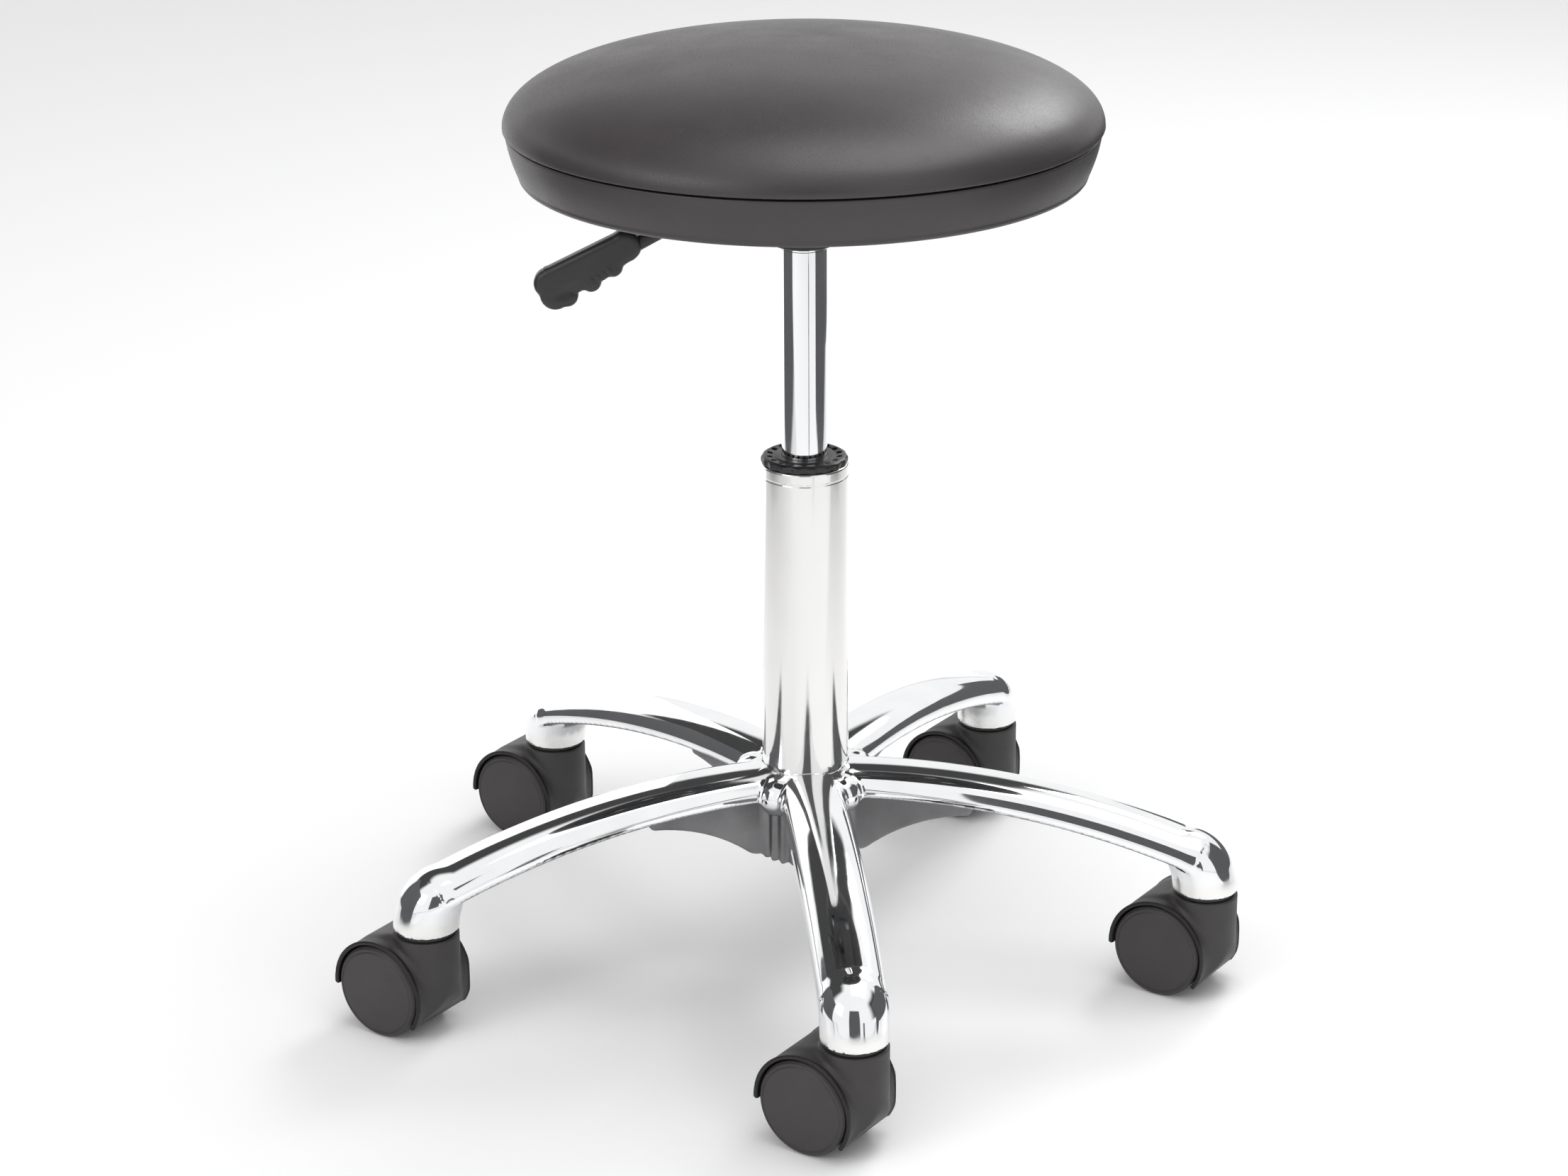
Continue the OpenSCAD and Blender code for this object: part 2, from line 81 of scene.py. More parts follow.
def box_field(x, y, z, lo, hi, k):
    dx = np.abs(x - (lo[0] + hi[0]) / 2) - (hi[0] - lo[0]) / 2
    dy = np.abs(y - (lo[1] + hi[1]) / 2) - (hi[1] - lo[1]) / 2
    dz = np.abs(z - (lo[2] + hi[2]) / 2) - (hi[2] - lo[2]) / 2
    return smax(smax(dx, dy, k), dz, k)


def capsule(x, y, z, a, b, r):
    a, b = np.array(a, float), np.array(b, float)
    d = b - a
    t = np.clip(((x - a[0]) * d[0] + (y - a[1]) * d[1] + (z - a[2]) * d[2]) / (d @ d), 0, 1)
    return np.sqrt((x - a[0] - t * d[0]) ** 2 + (y - a[1] - t * d[1]) ** 2
                   + (z - a[2] - t * d[2]) ** 2) - r


def polygon_field(x, y, points):
    """Signed distance in the plane to a closed polygon."""
    best = np.full(np.shape(x), 1e9)
    inside = np.zeros(np.shape(x), bool)
    for (ax, ay), (bx, by) in zip(points, points[1:] + points[:1]):
        ex, ey = bx - ax, by - ay
        wx, wy = x - ax, y - ay
        t = np.clip((wx * ex + wy * ey) / (ex * ex + ey * ey), 0, 1)
        best = np.minimum(best, (wx - t * ex) ** 2 + (wy - t * ey) ** 2)
        crosses = (ay > y) != (by > y)
        with np.errstate(divide="ignore", invalid="ignore"):
            inside ^= crosses & (x < (bx - ax) * (y - ay) / (by - ay + 1e-12) + ax)
    return np.where(inside, -1, 1) * np.sqrt(best)


def field_gradient(field, p, e=0.03):
    g = np.empty_like(p)
    for i in range(3):
        d = np.zeros(3)
        d[i] = e
        a, b = p + d, p - d
        g[:, i] = (field(a[:, 0], a[:, 1], a[:, 2]) - field(b[:, 0], b[:, 1], b[:, 2])) / (2 * e)
    return g


def field_mesh(field, lo, hi, step, relax=5):
    """Closed quad mesh of the surface where field is 0: points, faces and the surface's own normals."""
    lo, hi = np.array(lo, float) - 2 * step, np.array(hi, float) + 2 * step
    n = np.ceil((hi - lo) / step).astype(int) + 1
    ax = [lo[i] + step * np.arange(n[i]) for i in range(3)]
    f = np.empty(n, np.float32)
    chunk = max(1, int(400000 / (n[1] * n[2])))
    for i in range(0, n[0], chunk):
        x, y, z = np.meshgrid(ax[0][i:i + chunk], ax[1], ax[2], indexing="ij")
        f[i:i + chunk] = field(x, y, z)
    inside = f < 0
    corner = [(a, b, c) for a in (0, 1) for b in (0, 1) for c in (0, 1)]
    count = sum(inside[a:n[0] - 1 + a, b:n[1] - 1 + b, c:n[2] - 1 + c].astype(np.int8)
                for a, b, c in corner)
    cells = np.argwhere((count > 0) & (count < 8))
    ids = np.full(n - 1, -1, np.int64)
    ids[tuple(cells.T)] = np.arange(len(cells))
    v = np.stack([f[cells[:, 0] + a, cells[:, 1] + b, cells[:, 2] + c] for a, b, c in corner], 1)
    total, hits = np.zeros((len(cells), 3)), np.zeros(len(cells))
    for i, a in enumerate(corner):
        for j in range(i + 1, 8):
            b = corner[j]
            if sum(abs(p - q) for p, q in zip(a, b)) != 1:
                continue
            cut = (v[:, i] < 0) != (v[:, j] < 0)
            t = np.where(cut, v[:, i] / np.where(cut, v[:, i] - v[:, j], 1), 0)
            q = np.array(a) + t[:, None] * (np.array(b) - np.array(a))
            total += q * cut[:, None]
            hits += cut
    p = lo + step * (cells + total / hits[:, None])
    faces = []
    for a in range(3):
        b, c = (a + 1) % 3, (a + 2) % 3
        end = [slice(None)] * 3
        end[a] = slice(0, n[a] - 1)
        nxt = [slice(None)] * 3
        nxt[a] = slice(1, n[a])
        s0, s1 = inside[tuple(end)], inside[tuple(nxt)]
        e = np.argwhere(s0 != s1)
        keep = (e[:, b] > 0) & (e[:, c] > 0) & (e[:, b] < n[b] - 1) & (e[:, c] < n[c] - 1)
        e = e[keep]
        up = s0[tuple(e.T)]
        quad = []
        for db, dc in ((1, 1), (0, 1), (0, 0), (1, 0)):
            q = e.copy()
            q[:, b] -= db
            q[:, c] -= dc
            quad.append(ids[tuple(q.T)])
        quad = np.stack(quad, 1)
        quad[~up] = quad[~up][:, ::-1]
        faces.append(quad)
    faces = np.concatenate(faces)
    edge = np.unique(np.sort(np.concatenate([faces[:, [i, (i + 1) % 4]] for i in range(4)]), 1), axis=0)
    degree = np.bincount(edge.ravel(), minlength=len(p)).astype(float)

    def snap(p, limit):
        g = field_gradient(field, p)
        d = field(p[:, 0], p[:, 1], p[:, 2])
        move = g * (d / np.maximum((g * g).sum(1), 0.04))[:, None]
        size = np.linalg.norm(move, axis=1)
        return p - move * np.minimum(1, limit / np.maximum(size, 1e-9))[:, None]

    for _ in range(2):
        p = snap(p, step * 0.6)
    for _ in range(relax):
        mean = np.stack([np.bincount(edge[:, 0], p[edge[:, 1], i], len(p))
                         + np.bincount(edge[:, 1], p[edge[:, 0], i], len(p)) for i in range(3)], 1)
        p = snap(p + 0.5 * (mean / degree[:, None] - p), step * 0.6)
    p = snap(p, step * 0.6)
    g = field_gradient(field, p)
    return p, faces, g / np.maximum(np.linalg.norm(g, axis=1), 1e-9)[:, None]


# --- meshes ---

def make_mesh(name, points, faces, vertex_normals=None, loop_normals=None):
    """Mesh from millimetres, smooth, with the true surface normals."""
    me = bpy.data.meshes.new(name)
    me.from_pydata((np.asarray(points) * MM).tolist(), [], [list(map(int, f)) for f in faces])
    me.polygons.foreach_set("use_smooth", [True] * len(me.polygons))
    if vertex_normals is not None:
        me.normals_split_custom_set_from_vertices(np.asarray(vertex_normals).tolist())
    if loop_normals is not None:
        me.normals_split_custom_set(np.asarray(loop_normals).tolist())
    me.update()
    return me


def rounded(corners, arc=5):
    """Profile segments (start, normal, end, normal) of a closed outline, anticlockwise in (r, z). Its corners
    are (r, z, fillet). Corners on the axis have no fillet, and the segment along the axis is left out."""
    n = len(corners)
    pts = [np.array(c[:2], float) for c in corners]
    out, ends = [], []
    for i in range(n):
        a, b, c = pts[i - 1], pts[i], pts[(i + 1) % n]
        t0, t1 = (b - a) / np.linalg.norm(b - a), (c - b) / np.linalg.norm(c - b)
        turn = math.atan2(t0[0] * t1[1] - t0[1] * t1[0], t0 @ t1)
        r = corners[i][2] if len(corners[i]) > 2 else 0
        if r <= 0 or abs(turn) < 1e-4:
            ends.append((b, b, []))
            continue
        length = r * math.tan(abs(turn) / 2)
        start = b - t0 * length
        n0 = np.array([t0[1], -t0[0]])
        side = 1 if turn > 0 else -1
        centre = start - n0 * r * side
        segs = []
        k = max(2, int(math.ceil(abs(turn) / (math.pi / 2) * arc)))
        for q in range(k):
            both = []
            for m in (q, q + 1):
                w = turn * m / k
                nn = np.array([n0[0] * math.cos(w) - n0[1] * math.sin(w),
                               n0[0] * math.sin(w) + n0[1] * math.cos(w)])
                both.append((centre + nn * r * side, nn))
            segs.append((both[0][0], both[0][1], both[1][0], both[1][1]))
        ends.append((start, b + t1 * length, segs))
    for i in range(n):
        out += ends[i][2]
        p, q = ends[i][1], ends[(i + 1) % n][0]
        if np.linalg.norm(q - p) < 1e-6 or (abs(p[0]) < 1e-6 and abs(q[0]) < 1e-6):
            continue
        t = (q - p) / np.linalg.norm(q - p)
        nn = np.array([t[1], -t[0]])
        out.append((p, nn, q, nn))
    return out


def lathe(corners, segments=128, arc=5, split=None):
    """Points, faces and loop normals of a profile turned about Z. split is the longest row it leaves."""
    segs = rounded(corners, arc)
    if split:
        cut = []
        for p, a, q, b in segs:
            k = max(1, int(np.linalg.norm(q - p) / split))
            for i in range(k):
                cut.append((p + (q - p) * i / k, a + (b - a) * i / k,
                            p + (q - p) * (i + 1) / k, a + (b - a) * (i + 1) / k))
        segs = cut
    ang = np.arange(segments) * 2 * math.pi / segments
    cs = np.stack([np.cos(ang), np.sin(ang)], 1)
    rings, points, faces, normals = {}, [], [], []

    def ring(p):
        key = (round(float(p[0]), 5), round(float(p[1]), 5))
        if key not in rings:
            if abs(p[0]) < 1e-6:
                rings[key] = [len(points)] * segments
                points.append((0, 0, float(p[1])))
            else:
                rings[key] = list(range(len(points), len(points) + segments))
                points.extend((float(p[0] * c), float(p[0] * s), float(p[1])) for c, s in cs)
        return rings[key]

    for p, a, q, b in segs:
        rp, rq = ring(p), ring(q)
        for j in range(segments):
            k = (j + 1) % segments
            quad = [(rp[j], a, j), (rp[k], a, k), (rq[k], b, k), (rq[j], b, j)]
            if rp[j] == rp[k]:
                quad = [quad[0], quad[2], quad[3]]
            elif rq[j] == rq[k]:
                quad = quad[:3]
            faces.append([v for v, _, _ in quad])
            normals += [(m[0] * cs[i][0], m[0] * cs[i][1], m[1]) for _, m, i in quad]
    return np.array(points), faces, np.array(normals)


def spread(points, faces, normals, places):
    """One mesh's data with a shape at several places, each a 3x3 rotation and an offset in mm."""
    allp, allf, alln = [], [], []
    for turn, shift in places:
        base = sum(len(a) for a in allp)
        allp.append(points @ turn.T + shift)
        alln.append(normals @ turn.T)
        allf += [[v + base for v in f] for f in faces]
    return np.concatenate(allp), allf, np.concatenate(alln)


def turn_z(a):
    c, s = math.cos(a), math.sin(a)
    return np.array([[c, -s, 0], [s, c, 0], [0, 0, 1.0]])


def piece(name, mesh, body, slot, replaces=(), matrix=None):
    """A visible object that rides on a body, in its slot's material. Castors share their meshes."""
    ob = bpy.data.objects.new(name, mesh)
    bpy.context.scene.collection.objects.link(ob)
    if matrix is not None:
        ob.matrix_world = matrix
    if not mesh.materials:
        mesh.materials.append(MAT[slot])
    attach(ob, body)
    if replaces:
        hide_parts(*replaces)
    return ob


def field_piece(name, field, lo, hi, steps, body, slot, replaces):
    """A piece meshed from its field at a grid step in mm, the second of steps; the first of steps is not used."""
    p, faces, n = field_mesh(field, lo, hi, steps[1], 4)
    piece(name, make_mesh(name, p, faces, n), body, slot, replaces)


def lathe_piece(name, corners, segments, body, slot, replaces):
    p, faces, n = lathe(corners, segments)
    piece(name, make_mesh(name, p, faces, loop_normals=n), body, slot, replaces)


# --- materials ---

class Nodes:
    """Makes and links shader nodes."""

    def __init__(self, name):
        self.mat = bpy.data.materials.new(name)
        self.mat.use_nodes = True
        self.tree = self.mat.node_tree
        self.bsdf = self.tree.nodes["Principled BSDF"]
        self.where = self.new("ShaderNodeTexCoord").outputs["Object"]

    def new(self, kind, **values):
        node = self.tree.nodes.new(kind)
        for k, v in values.items():
            setattr(node, k, v)
        return node

    def link(self, a, b):
        self.tree.links.new(a, b)

    def coords(self, scale=(1, 1, 1)):
        m = self.new("ShaderNodeMapping")
        m.inputs["Scale"].default_value = scale
        self.link(self.where, m.inputs["Vector"])
        return m.outputs["Vector"]

    def noise(self, scale, detail=4, rough=0.5, stretch=None):
        n = self.new("ShaderNodeTexNoise")
        n.inputs["Scale"].default_value = scale
        n.inputs["Detail"].default_value = detail
        n.inputs["Roughness"].default_value = rough
        self.link(self.coords(stretch) if stretch else self.where, n.inputs["Vector"])
        return n.outputs["Fac"]

    def cells(self, scale, feature="F1"):
        n = self.new("ShaderNodeTexVoronoi", feature=feature)
        n.inputs["Scale"].default_value = scale
        self.link(self.where, n.inputs["Vector"])
        return n.outputs["Distance"]

    def remap(self, value, a, b, c, d, smooth=False):
        n = self.new("ShaderNodeMapRange")
        if smooth:
            n.interpolation_type = "SMOOTHSTEP"
        for i, x in zip((1, 2, 3, 4), (a, b, c, d)):
            n.inputs[i].default_value = x
        self.link(value, n.inputs[0])
        return n.outputs[0]

    def math(self, op, a, b=None):
        n = self.new("ShaderNodeMath", operation=op)
        for i, x in enumerate((a, b)):
            if x is None:
                continue
            if isinstance(x, (int, float)):
                n.inputs[i].default_value = x
            else:
                self.link(x, n.inputs[i])
        return n.outputs[0]

    def mix(self, fac, a, b):
        n = self.new("ShaderNodeMix", data_type="RGBA")
        self.link(fac, n.inputs[0])
        for i, c in ((6, a), (7, b)):
            if isinstance(c, tuple):
                n.inputs[i].default_value = (*c, 1)
            else:
                self.link(c, n.inputs[i])
        return n.outputs[2]

    def attribute(self, name):
        return self.new("ShaderNodeAttribute", attribute_name=name).outputs["Fac"]

    def bump(self, height, distance, before=None):
        n = self.new("ShaderNodeBump")
        n.inputs["Distance"].default_value = distance
        self.link(height, n.inputs["Height"])
        if before is not None:
            self.link(before, n.inputs["Normal"])
        return n.outputs["Normal"]

    def finish(self, color=None, rough=None, normal=None, **sockets):
        for value, key in ((color, "Base Color"), (rough, "Roughness"), (normal, "Normal")):
            if value is None:
                continue
            if hasattr(value, "is_linked"):
                self.link(value, self.bsdf.inputs[key])
            else:
                self.bsdf.inputs[key].default_value = (*value, 1) if key == "Base Color" else value
        for k, v in sockets.items():
            self.bsdf.inputs[k.replace("_", " ")].default_value = v
        return self.mat


def shade(color, k):
    return tuple(min(1.0, x * k) for x in color)


def metal(name, color, rough, spread_r=0.04, marks=None, grain=0.0, wear=0.06):
    """Bare or plated metal: cloudy tone, uneven polish, fine marks in one direction, and a cast grain."""
    n = Nodes(name)
    cloud = n.noise(35, 3)
    tone = n.mix(n.remap(cloud, 0.3, 0.7, 0, 1), shade(color, 1 - wear), shade(color, 1 + wear / 2))
    r = n.remap(n.noise(140, 5, 0.6), 0.3, 0.7, rough - spread_r / 2, rough + spread_r)
    normal = None
    if marks:
        lines = n.noise(900, 2, 0.5, stretch=marks)
        r = n.math("ADD", r, n.remap(lines, 0.35, 0.65, -spread_r / 2, spread_r / 2))
        normal = n.bump(lines, 0.000004)
    if grain:
        normal = n.bump(n.noise(700, 3, 0.6), grain, normal)
    return n.finish(tone, r, normal, Metallic=1.0)


def plastic(name, color, rough, texture, scale, vary=0.10, dark=None):
    """Moulded plastic with a spark-eroded texture, faint flow clouds and rubbed spots. dark names the
    attribute of painted shade that blackens its hollows."""
    n = Nodes(name)
    cloud = n.noise(18, 4, 0.55)
    tone = n.mix(n.remap(cloud, 0.3, 0.7, 0, 1), shade(color, 1 - vary), shade(color, 1 + vary))
    if dark:
        # Painted shade: where the attribute is set, the tone goes to near black.
        tone = n.mix(n.attribute(dark), tone, (0.003, 0.003, 0.003))
    r = n.remap(n.noise(60, 4), 0.3, 0.7, rough - 0.05, rough + 0.06)
    fine = n.noise(scale, 3, 0.6)
    return n.finish(tone, r, n.bump(fine, texture))


def cast_material():
    """Polished casting: bright outside, satin at the sockets, left unpolished inside the arms and on the webs,
    where its dark grey is also painted shade, as on the faces that look down and under the hub.
    """
    n = Nodes("cast_aluminium_polished")
    raw_and_painted_shade, satin = n.attribute("raw_and_painted_shade"), n.attribute("satin")
    cloud = n.remap(n.noise(30, 4), 0.3, 0.7, 0, 1)
    bright = n.mix(cloud, (0.86, 0.87, 0.885), (0.93, 0.935, 0.94))
    # Dark grey of the unpolished mask: the rough cast finish, darkened further as painted shade under the arms and
    # the hub.
    grey = n.mix(cloud, (0.20, 0.20, 0.205), (0.30, 0.30, 0.305))
    tone = n.mix(satin, n.mix(raw_and_painted_shade, bright, grey), (0.90, 0.895, 0.88))
    shine = n.remap(n.noise(90, 5, 0.6), 0.3, 0.7, 0.035, 0.085)
    rough = n.math("ADD", n.math("ADD", shine, n.math("MULTIPLY", raw_and_painted_shade, 0.42)),
                   n.math("MULTIPLY", satin, 0.20))
    swirl = n.bump(n.noise(16, 2, 0.5), 0.00035)
    turned = n.math("MULTIPLY", n.noise(1200, 2, 0.5, stretch=(0.02, 0.02, 1)), satin)
    sand = n.math("MULTIPLY", n.noise(520, 4, 0.65), raw_and_painted_shade)
    normal = n.bump(sand, 0.00018, n.bump(turned, 0.00002, swirl))
    return n.finish(tone, rough, normal, Metallic=1.0)


def vinyl(name, color, rough):
    """Upholstery vinyl: pebbled grain with fine creases, and a soft uneven sheen."""
    n = Nodes(name)
    cloud = n.noise(9, 5, 0.55)
    tone = n.mix(n.remap(cloud, 0.3, 0.7, 0, 1), shade(color, 0.88), shade(color, 1.14))
    pebble = n.remap(n.cells(1150, "SMOOTH_F1"), 0.0, 0.75, 1, 0)
    crease = n.remap(n.cells(520, "DISTANCE_TO_EDGE"), 0.0, 0.10, 0, 1)
    grain = n.math("ADD", n.math("MULTIPLY", pebble, 0.6), n.math("MULTIPLY", crease, 0.4))
    r = n.math("ADD", n.remap(n.noise(26, 4), 0.3, 0.7, rough - 0.03, rough + 0.04),
               n.math("MULTIPLY", n.math("SUBTRACT", 1.0, crease), 0.10))
    return n.finish(tone, r, n.bump(grain, 0.00004, n.bump(n.noise(60, 3), 0.00010)))


def cloth_material():
    """Spun-bonded dust cloth: crossed fibres and pressed dots."""
    n = Nodes("dust_cloth_spunbond")
    a = n.noise(900, 3, 0.6, stretch=(1, 0.12, 1))
    b = n.noise(900, 3, 0.6, stretch=(0.12, 1, 1))
    fibre = n.math("MAXIMUM", a, b)
    dots = n.remap(n.cells(420), 0.10, 0.30, 0, 1)
    tone = n.mix(n.remap(fibre, 0.45, 0.75, 0, 1), (0.010, 0.010, 0.011), (0.040, 0.040, 0.042))
    return n.finish(tone, n.remap(fibre, 0.4, 0.7, 0.75, 0.95),
                    n.bump(dots, 0.00006, n.bump(fibre, 0.00008)), Sheen_Weight=0.3)


def wood_material():
    n = Nodes("birch_plywood")
    rings = n.new("ShaderNodeTexWave", wave_type="BANDS", bands_direction="X")
    rings.inputs["Scale"].default_value = 28
    rings.inputs["Distortion"].default_value = 6
    rings.inputs["Detail"].default_value = 4
    n.link(n.coords((1, 0.15, 8)), rings.inputs["Vector"])
    grain = rings.outputs["Fac"]
    tone = n.mix(grain, (0.50, 0.36, 0.21), (0.68, 0.53, 0.34))
    return n.finish(tone, 0.6, n.bump(grain, 0.00010))


def foam_material():
    n = Nodes("moulded_foam")
    pores = n.remap(n.cells(700), 0.0, 0.35, 0, 1)
    return n.finish(n.mix(pores, (0.55, 0.48, 0.30), (0.80, 0.74, 0.55)), 0.95, n.bump(pores, 0.0004))


MAT = {
    "cast_aluminium": cast_material(),
    "polished_tube": metal("polished_tube_steel", (0.845, 0.84, 0.83), 0.11, 0.03,
                           marks=(1, 1, 0.015), wear=0.02),
    "chrome_cylinder": metal("chrome_plate", (0.90, 0.905, 0.91), 0.06, 0.015,
                             marks=(1, 1, 0.01), wear=0.01),
    "bare_steel": metal("zinc_steel", (0.62, 0.63, 0.65), 0.28, 0.08, marks=(1, 1, 0.1), grain=0.00003),
    "bolt_steel": metal("dark_bolt_steel", (0.30, 0.30, 0.32), 0.35, 0.08, grain=0.00004, wear=0.2),
    "spring_steel": metal("passivated_spring_steel", (0.70, 0.56, 0.30), 0.25, 0.06, grain=0.00002),
    "black_steel": plastic("powder_coated_steel", (0.016, 0.016, 0.017), 0.42, 0.00006, 500),
    "black_collar": plastic("collar_acetal_black", (0.016, 0.016, 0.018), 0.34, 0.00003, 700),
    "grip_plastic": plastic("grip_plastic_black", (0.022, 0.021, 0.023), 0.36, 0.00003, 700),
    "charcoal_nylon": plastic("hood_nylon_charcoal", (0.034, 0.031, 0.031), 0.50, 0.00004, 650,
                              dark="shade"),
    "wheel_nylon": plastic("wheel_nylon_charcoal", (0.034, 0.030, 0.030), 0.48, 0.00004, 650),
    "white_acetal": plastic("pin_acetal_white", (0.80, 0.80, 0.77), 0.35, 0.00001, 500, vary=0.03),
    "bump_rubber": plastic("rubber_black", (0.015, 0.015, 0.015), 0.75, 0.00008, 400),
    "seat_vinyl": vinyl("seat_vinyl_charcoal", (0.041, 0.036, 0.037), 0.37),
    "dust_cloth": cloth_material(),
    "birch_ply": wood_material(),
    "seat_foam": foam_material(),
}
# The pieces that no visual replaces show their CAD solid in the same materials.
for part in frame["record"]["subparts"]:
    node = NODES[part["node"]]
    node.data.materials.clear()
    node.data.materials.append(MAT[part["material_slot"]])
    for poly in node.data.polygons:
        poly.material_index = 0


# --- star base ---

# An arm's crest follows an arc of radius ARC_R about (ARC_S, ARC_Z), with s outward from the hub.
ARC_R, ARC_S, CREST_Z = 549.0, 63.0, 137.6
ARC_Z = CREST_Z - ARC_R
HUB_R, HUB_LOW, HUB_TOP = 29.5, 75.0, 133.0
COL_R = 27.0
# The knuckle is a domed socket round the castor's stem, and leans inward.
SOCKET_LOW = 70.0
KNUCKLE_S, KNUCKLE_R, KNUCKLE_Z, KNUCKLE_LEAN = 246.0, 20.4, 87.5, 0.34
KNUCKLE_A = math.asin((KNUCKLE_S - ARC_S) / (ARC_R - KNUCKLE_R))
WALL = 4.2


def arm_shell(w, n, half, depth):
    """Superellipse section: w across, n below the crest (negative)."""
    p = 2.5
    u, m = np.abs(w) / half, np.maximum(n + depth, 0) / depth
    q = np.maximum((u ** p + m ** p) ** (1 / p), 0.15)
    slope = q ** (1 - p) * np.hypot(u ** (p - 1) / half, m ** (p - 1) / depth)
    return (q - 1) / np.maximum(slope, 1e-3)


def arm_field(s, w, z):
    """One hollow arm with its knuckle and its web: s outward, w across, z up."""
    rho = np.hypot(s - ARC_S, z - ARC_Z)
    n = rho - ARC_R
    phi = np.arctan2(s - ARC_S, z - ARC_Z)
    half = 21.2 - 0.8 * np.clip((s - 25) / 225, 0, 1)
    depth = 16.7 + 0.9 * np.clip((s - 25) / 225, 0, 1)
    outer = smax(arm_shell(w, n, half, depth), -(n + depth), 2.4)
    inner = arm_shell(w, n + WALL, half - WALL, depth - WALL)
    inner = smax(smax(inner, 46 - s, 6), s - (KNUCKLE_S - 20), 6)
    arm = smax(outer, -inner, 1.6)
    arm = smax(arm, (phi - KNUCKLE_A) * rho, 1)
    arm = smax(arm, 14 - s, 1)
    lean = KNUCKLE_LEAN * 0.5 * (z - 76 + np.hypot(z - 76, 4))
    knuckle = np.hypot(np.hypot(s - STEM_R + lean, w), np.maximum(z - KNUCKLE_Z, 0)) - KNUCKLE_R
    arm = smin(arm, knuckle, 2.2)
    arm = smax(arm, SOCKET_LOW - z, 1)
    gap = np.hypot(s - 117, z + 13)
    web = smax(smax(120 - gap, s - 107, 3), 24 - s, 2)
    web = smax(smax(web, z - 124, 2), 77.5 - z, 3)
    web = smax(web, np.abs(w) - 3.4 - 0.03 * (124 - z), 2)
    return smin(arm, web, 3.5)


def star_field(x, y, z):
    """Five arms, the ribbed hub, and a round lump in each corner between two arms."""
    r = np.hypot(x, y)
    a = np.arctan2(y, x) - FRONT_ARM
    a = a - ARM_STEP * np.round(a / ARM_STEP)
    d = arm_field(r * np.cos(a), r * np.sin(a), z)
    near = r < 105
    if near.any():
        rn, an, zn = r[near], a[near], z[near]
        side = np.where(an >= 0, 1, -1)
        b = an - side * ARM_STEP
        dn = smin(d[near], arm_field(rn * np.cos(b), rn * np.sin(b), zn), 5)
        hub = smax(rn - HUB_R, np.abs(zn - (HUB_TOP + HUB_LOW) / 2) - (HUB_TOP - HUB_LOW) / 2, 2)
        ribs = 0.7 * np.cos(an * 25) * step01(118 - zn, 0, 12)
        dn = smin(dn, hub + ribs - 0.3, 4)
        half = np.abs(an) - ARM_STEP / 2
        out, aside = rn * np.cos(half) - 34.5, rn * np.sin(half)
        lump = np.sqrt(out ** 2 + aside ** 2 + (zn - 122.5) ** 2) - 12.2
        dn = smin(dn, lump, 3)
        dn = smax(dn, COL_R + 0.06 - rn, 0.4)
        d[near] = dn
    bore = smax(np.hypot(r * np.cos(a) - STEM_R, r * np.sin(a)) - 5.8, z - 93, 0.4)
    return smax(d, -bore, 0.5)


def build_star():
    step = 1.35
    lo, hi = low("star_base"), high("star_base")
    p, faces, n = field_mesh(star_field, lo, hi, step, 4)
    me = make_mesh("star_casting", p, faces, n)
    r = np.hypot(p[:, 0], p[:, 1])
    a = np.arctan2(p[:, 1], p[:, 0]) - FRONT_ARM
    a -= ARM_STEP * np.round(a / ARM_STEP)
    s, w, z = r * np.cos(a), r * np.sin(a), p[:, 2]
    rho = np.hypot(s - ARC_S, z - ARC_Z) - ARC_R
    # Mask of faces that look down, the arms' lower edges and the hub's underside: unpolished rough casting there,
    # and painted shade, a dark grey where shadow falls.
    below = step01(-rho, 15.8, 18.0) * step01(z, 85, 88) * (r > 30)
    hollow = step01(-n[:, 2], 0.15, 0.45) * (r < 240)
    hub_low = step01(116 - z, 0, 8) * (r < 50)
    raw_and_painted_shade = np.clip(np.maximum.reduce([hollow, below * (np.abs(w) < 10), hub_low]), 0, 1)
    satin = (1 - step01(z, 77, 83 + 1.5 * np.cos(7 * a + w))) * (r > 225)
    for key, value in (("raw_and_painted_shade", raw_and_painted_shade), ("satin", np.clip(satin, 0, 1))):
        me.attributes.new(key, "FLOAT", "POINT").data.foreach_set("value", value.astype(np.float32))
    piece("star_casting", me, "base", "cast_aluminium", ["star_base"])


build_star()

# --- column, collar, lift ---

COL_BORE = 23.7
GROOVE_R = COL_R - 0.18
COL_LOW, COL_TOP = low("column_tube").z, high("column_tube").z
lathe_piece("column_sleeve",
            [(COL_BORE, COL_LOW, 0.4), (25.5, COL_LOW, 0.4), (COL_R, HUB_TOP - 4),
             (COL_R, COL_TOP - 8.2, 0.3), (GROOVE_R, COL_TOP - 7.8, 0.3), (GROOVE_R, COL_TOP - 6.9, 0.3),
             (COL_R, COL_TOP - 6.5, 0.3), (COL_R, COL_TOP, 1.3), (COL_BORE, COL_TOP, 0.4)],
            160, "base", "polished_tube", ["column_tube"])

COLLAR_TOP = high("guide_collar").z
TEETH = 18


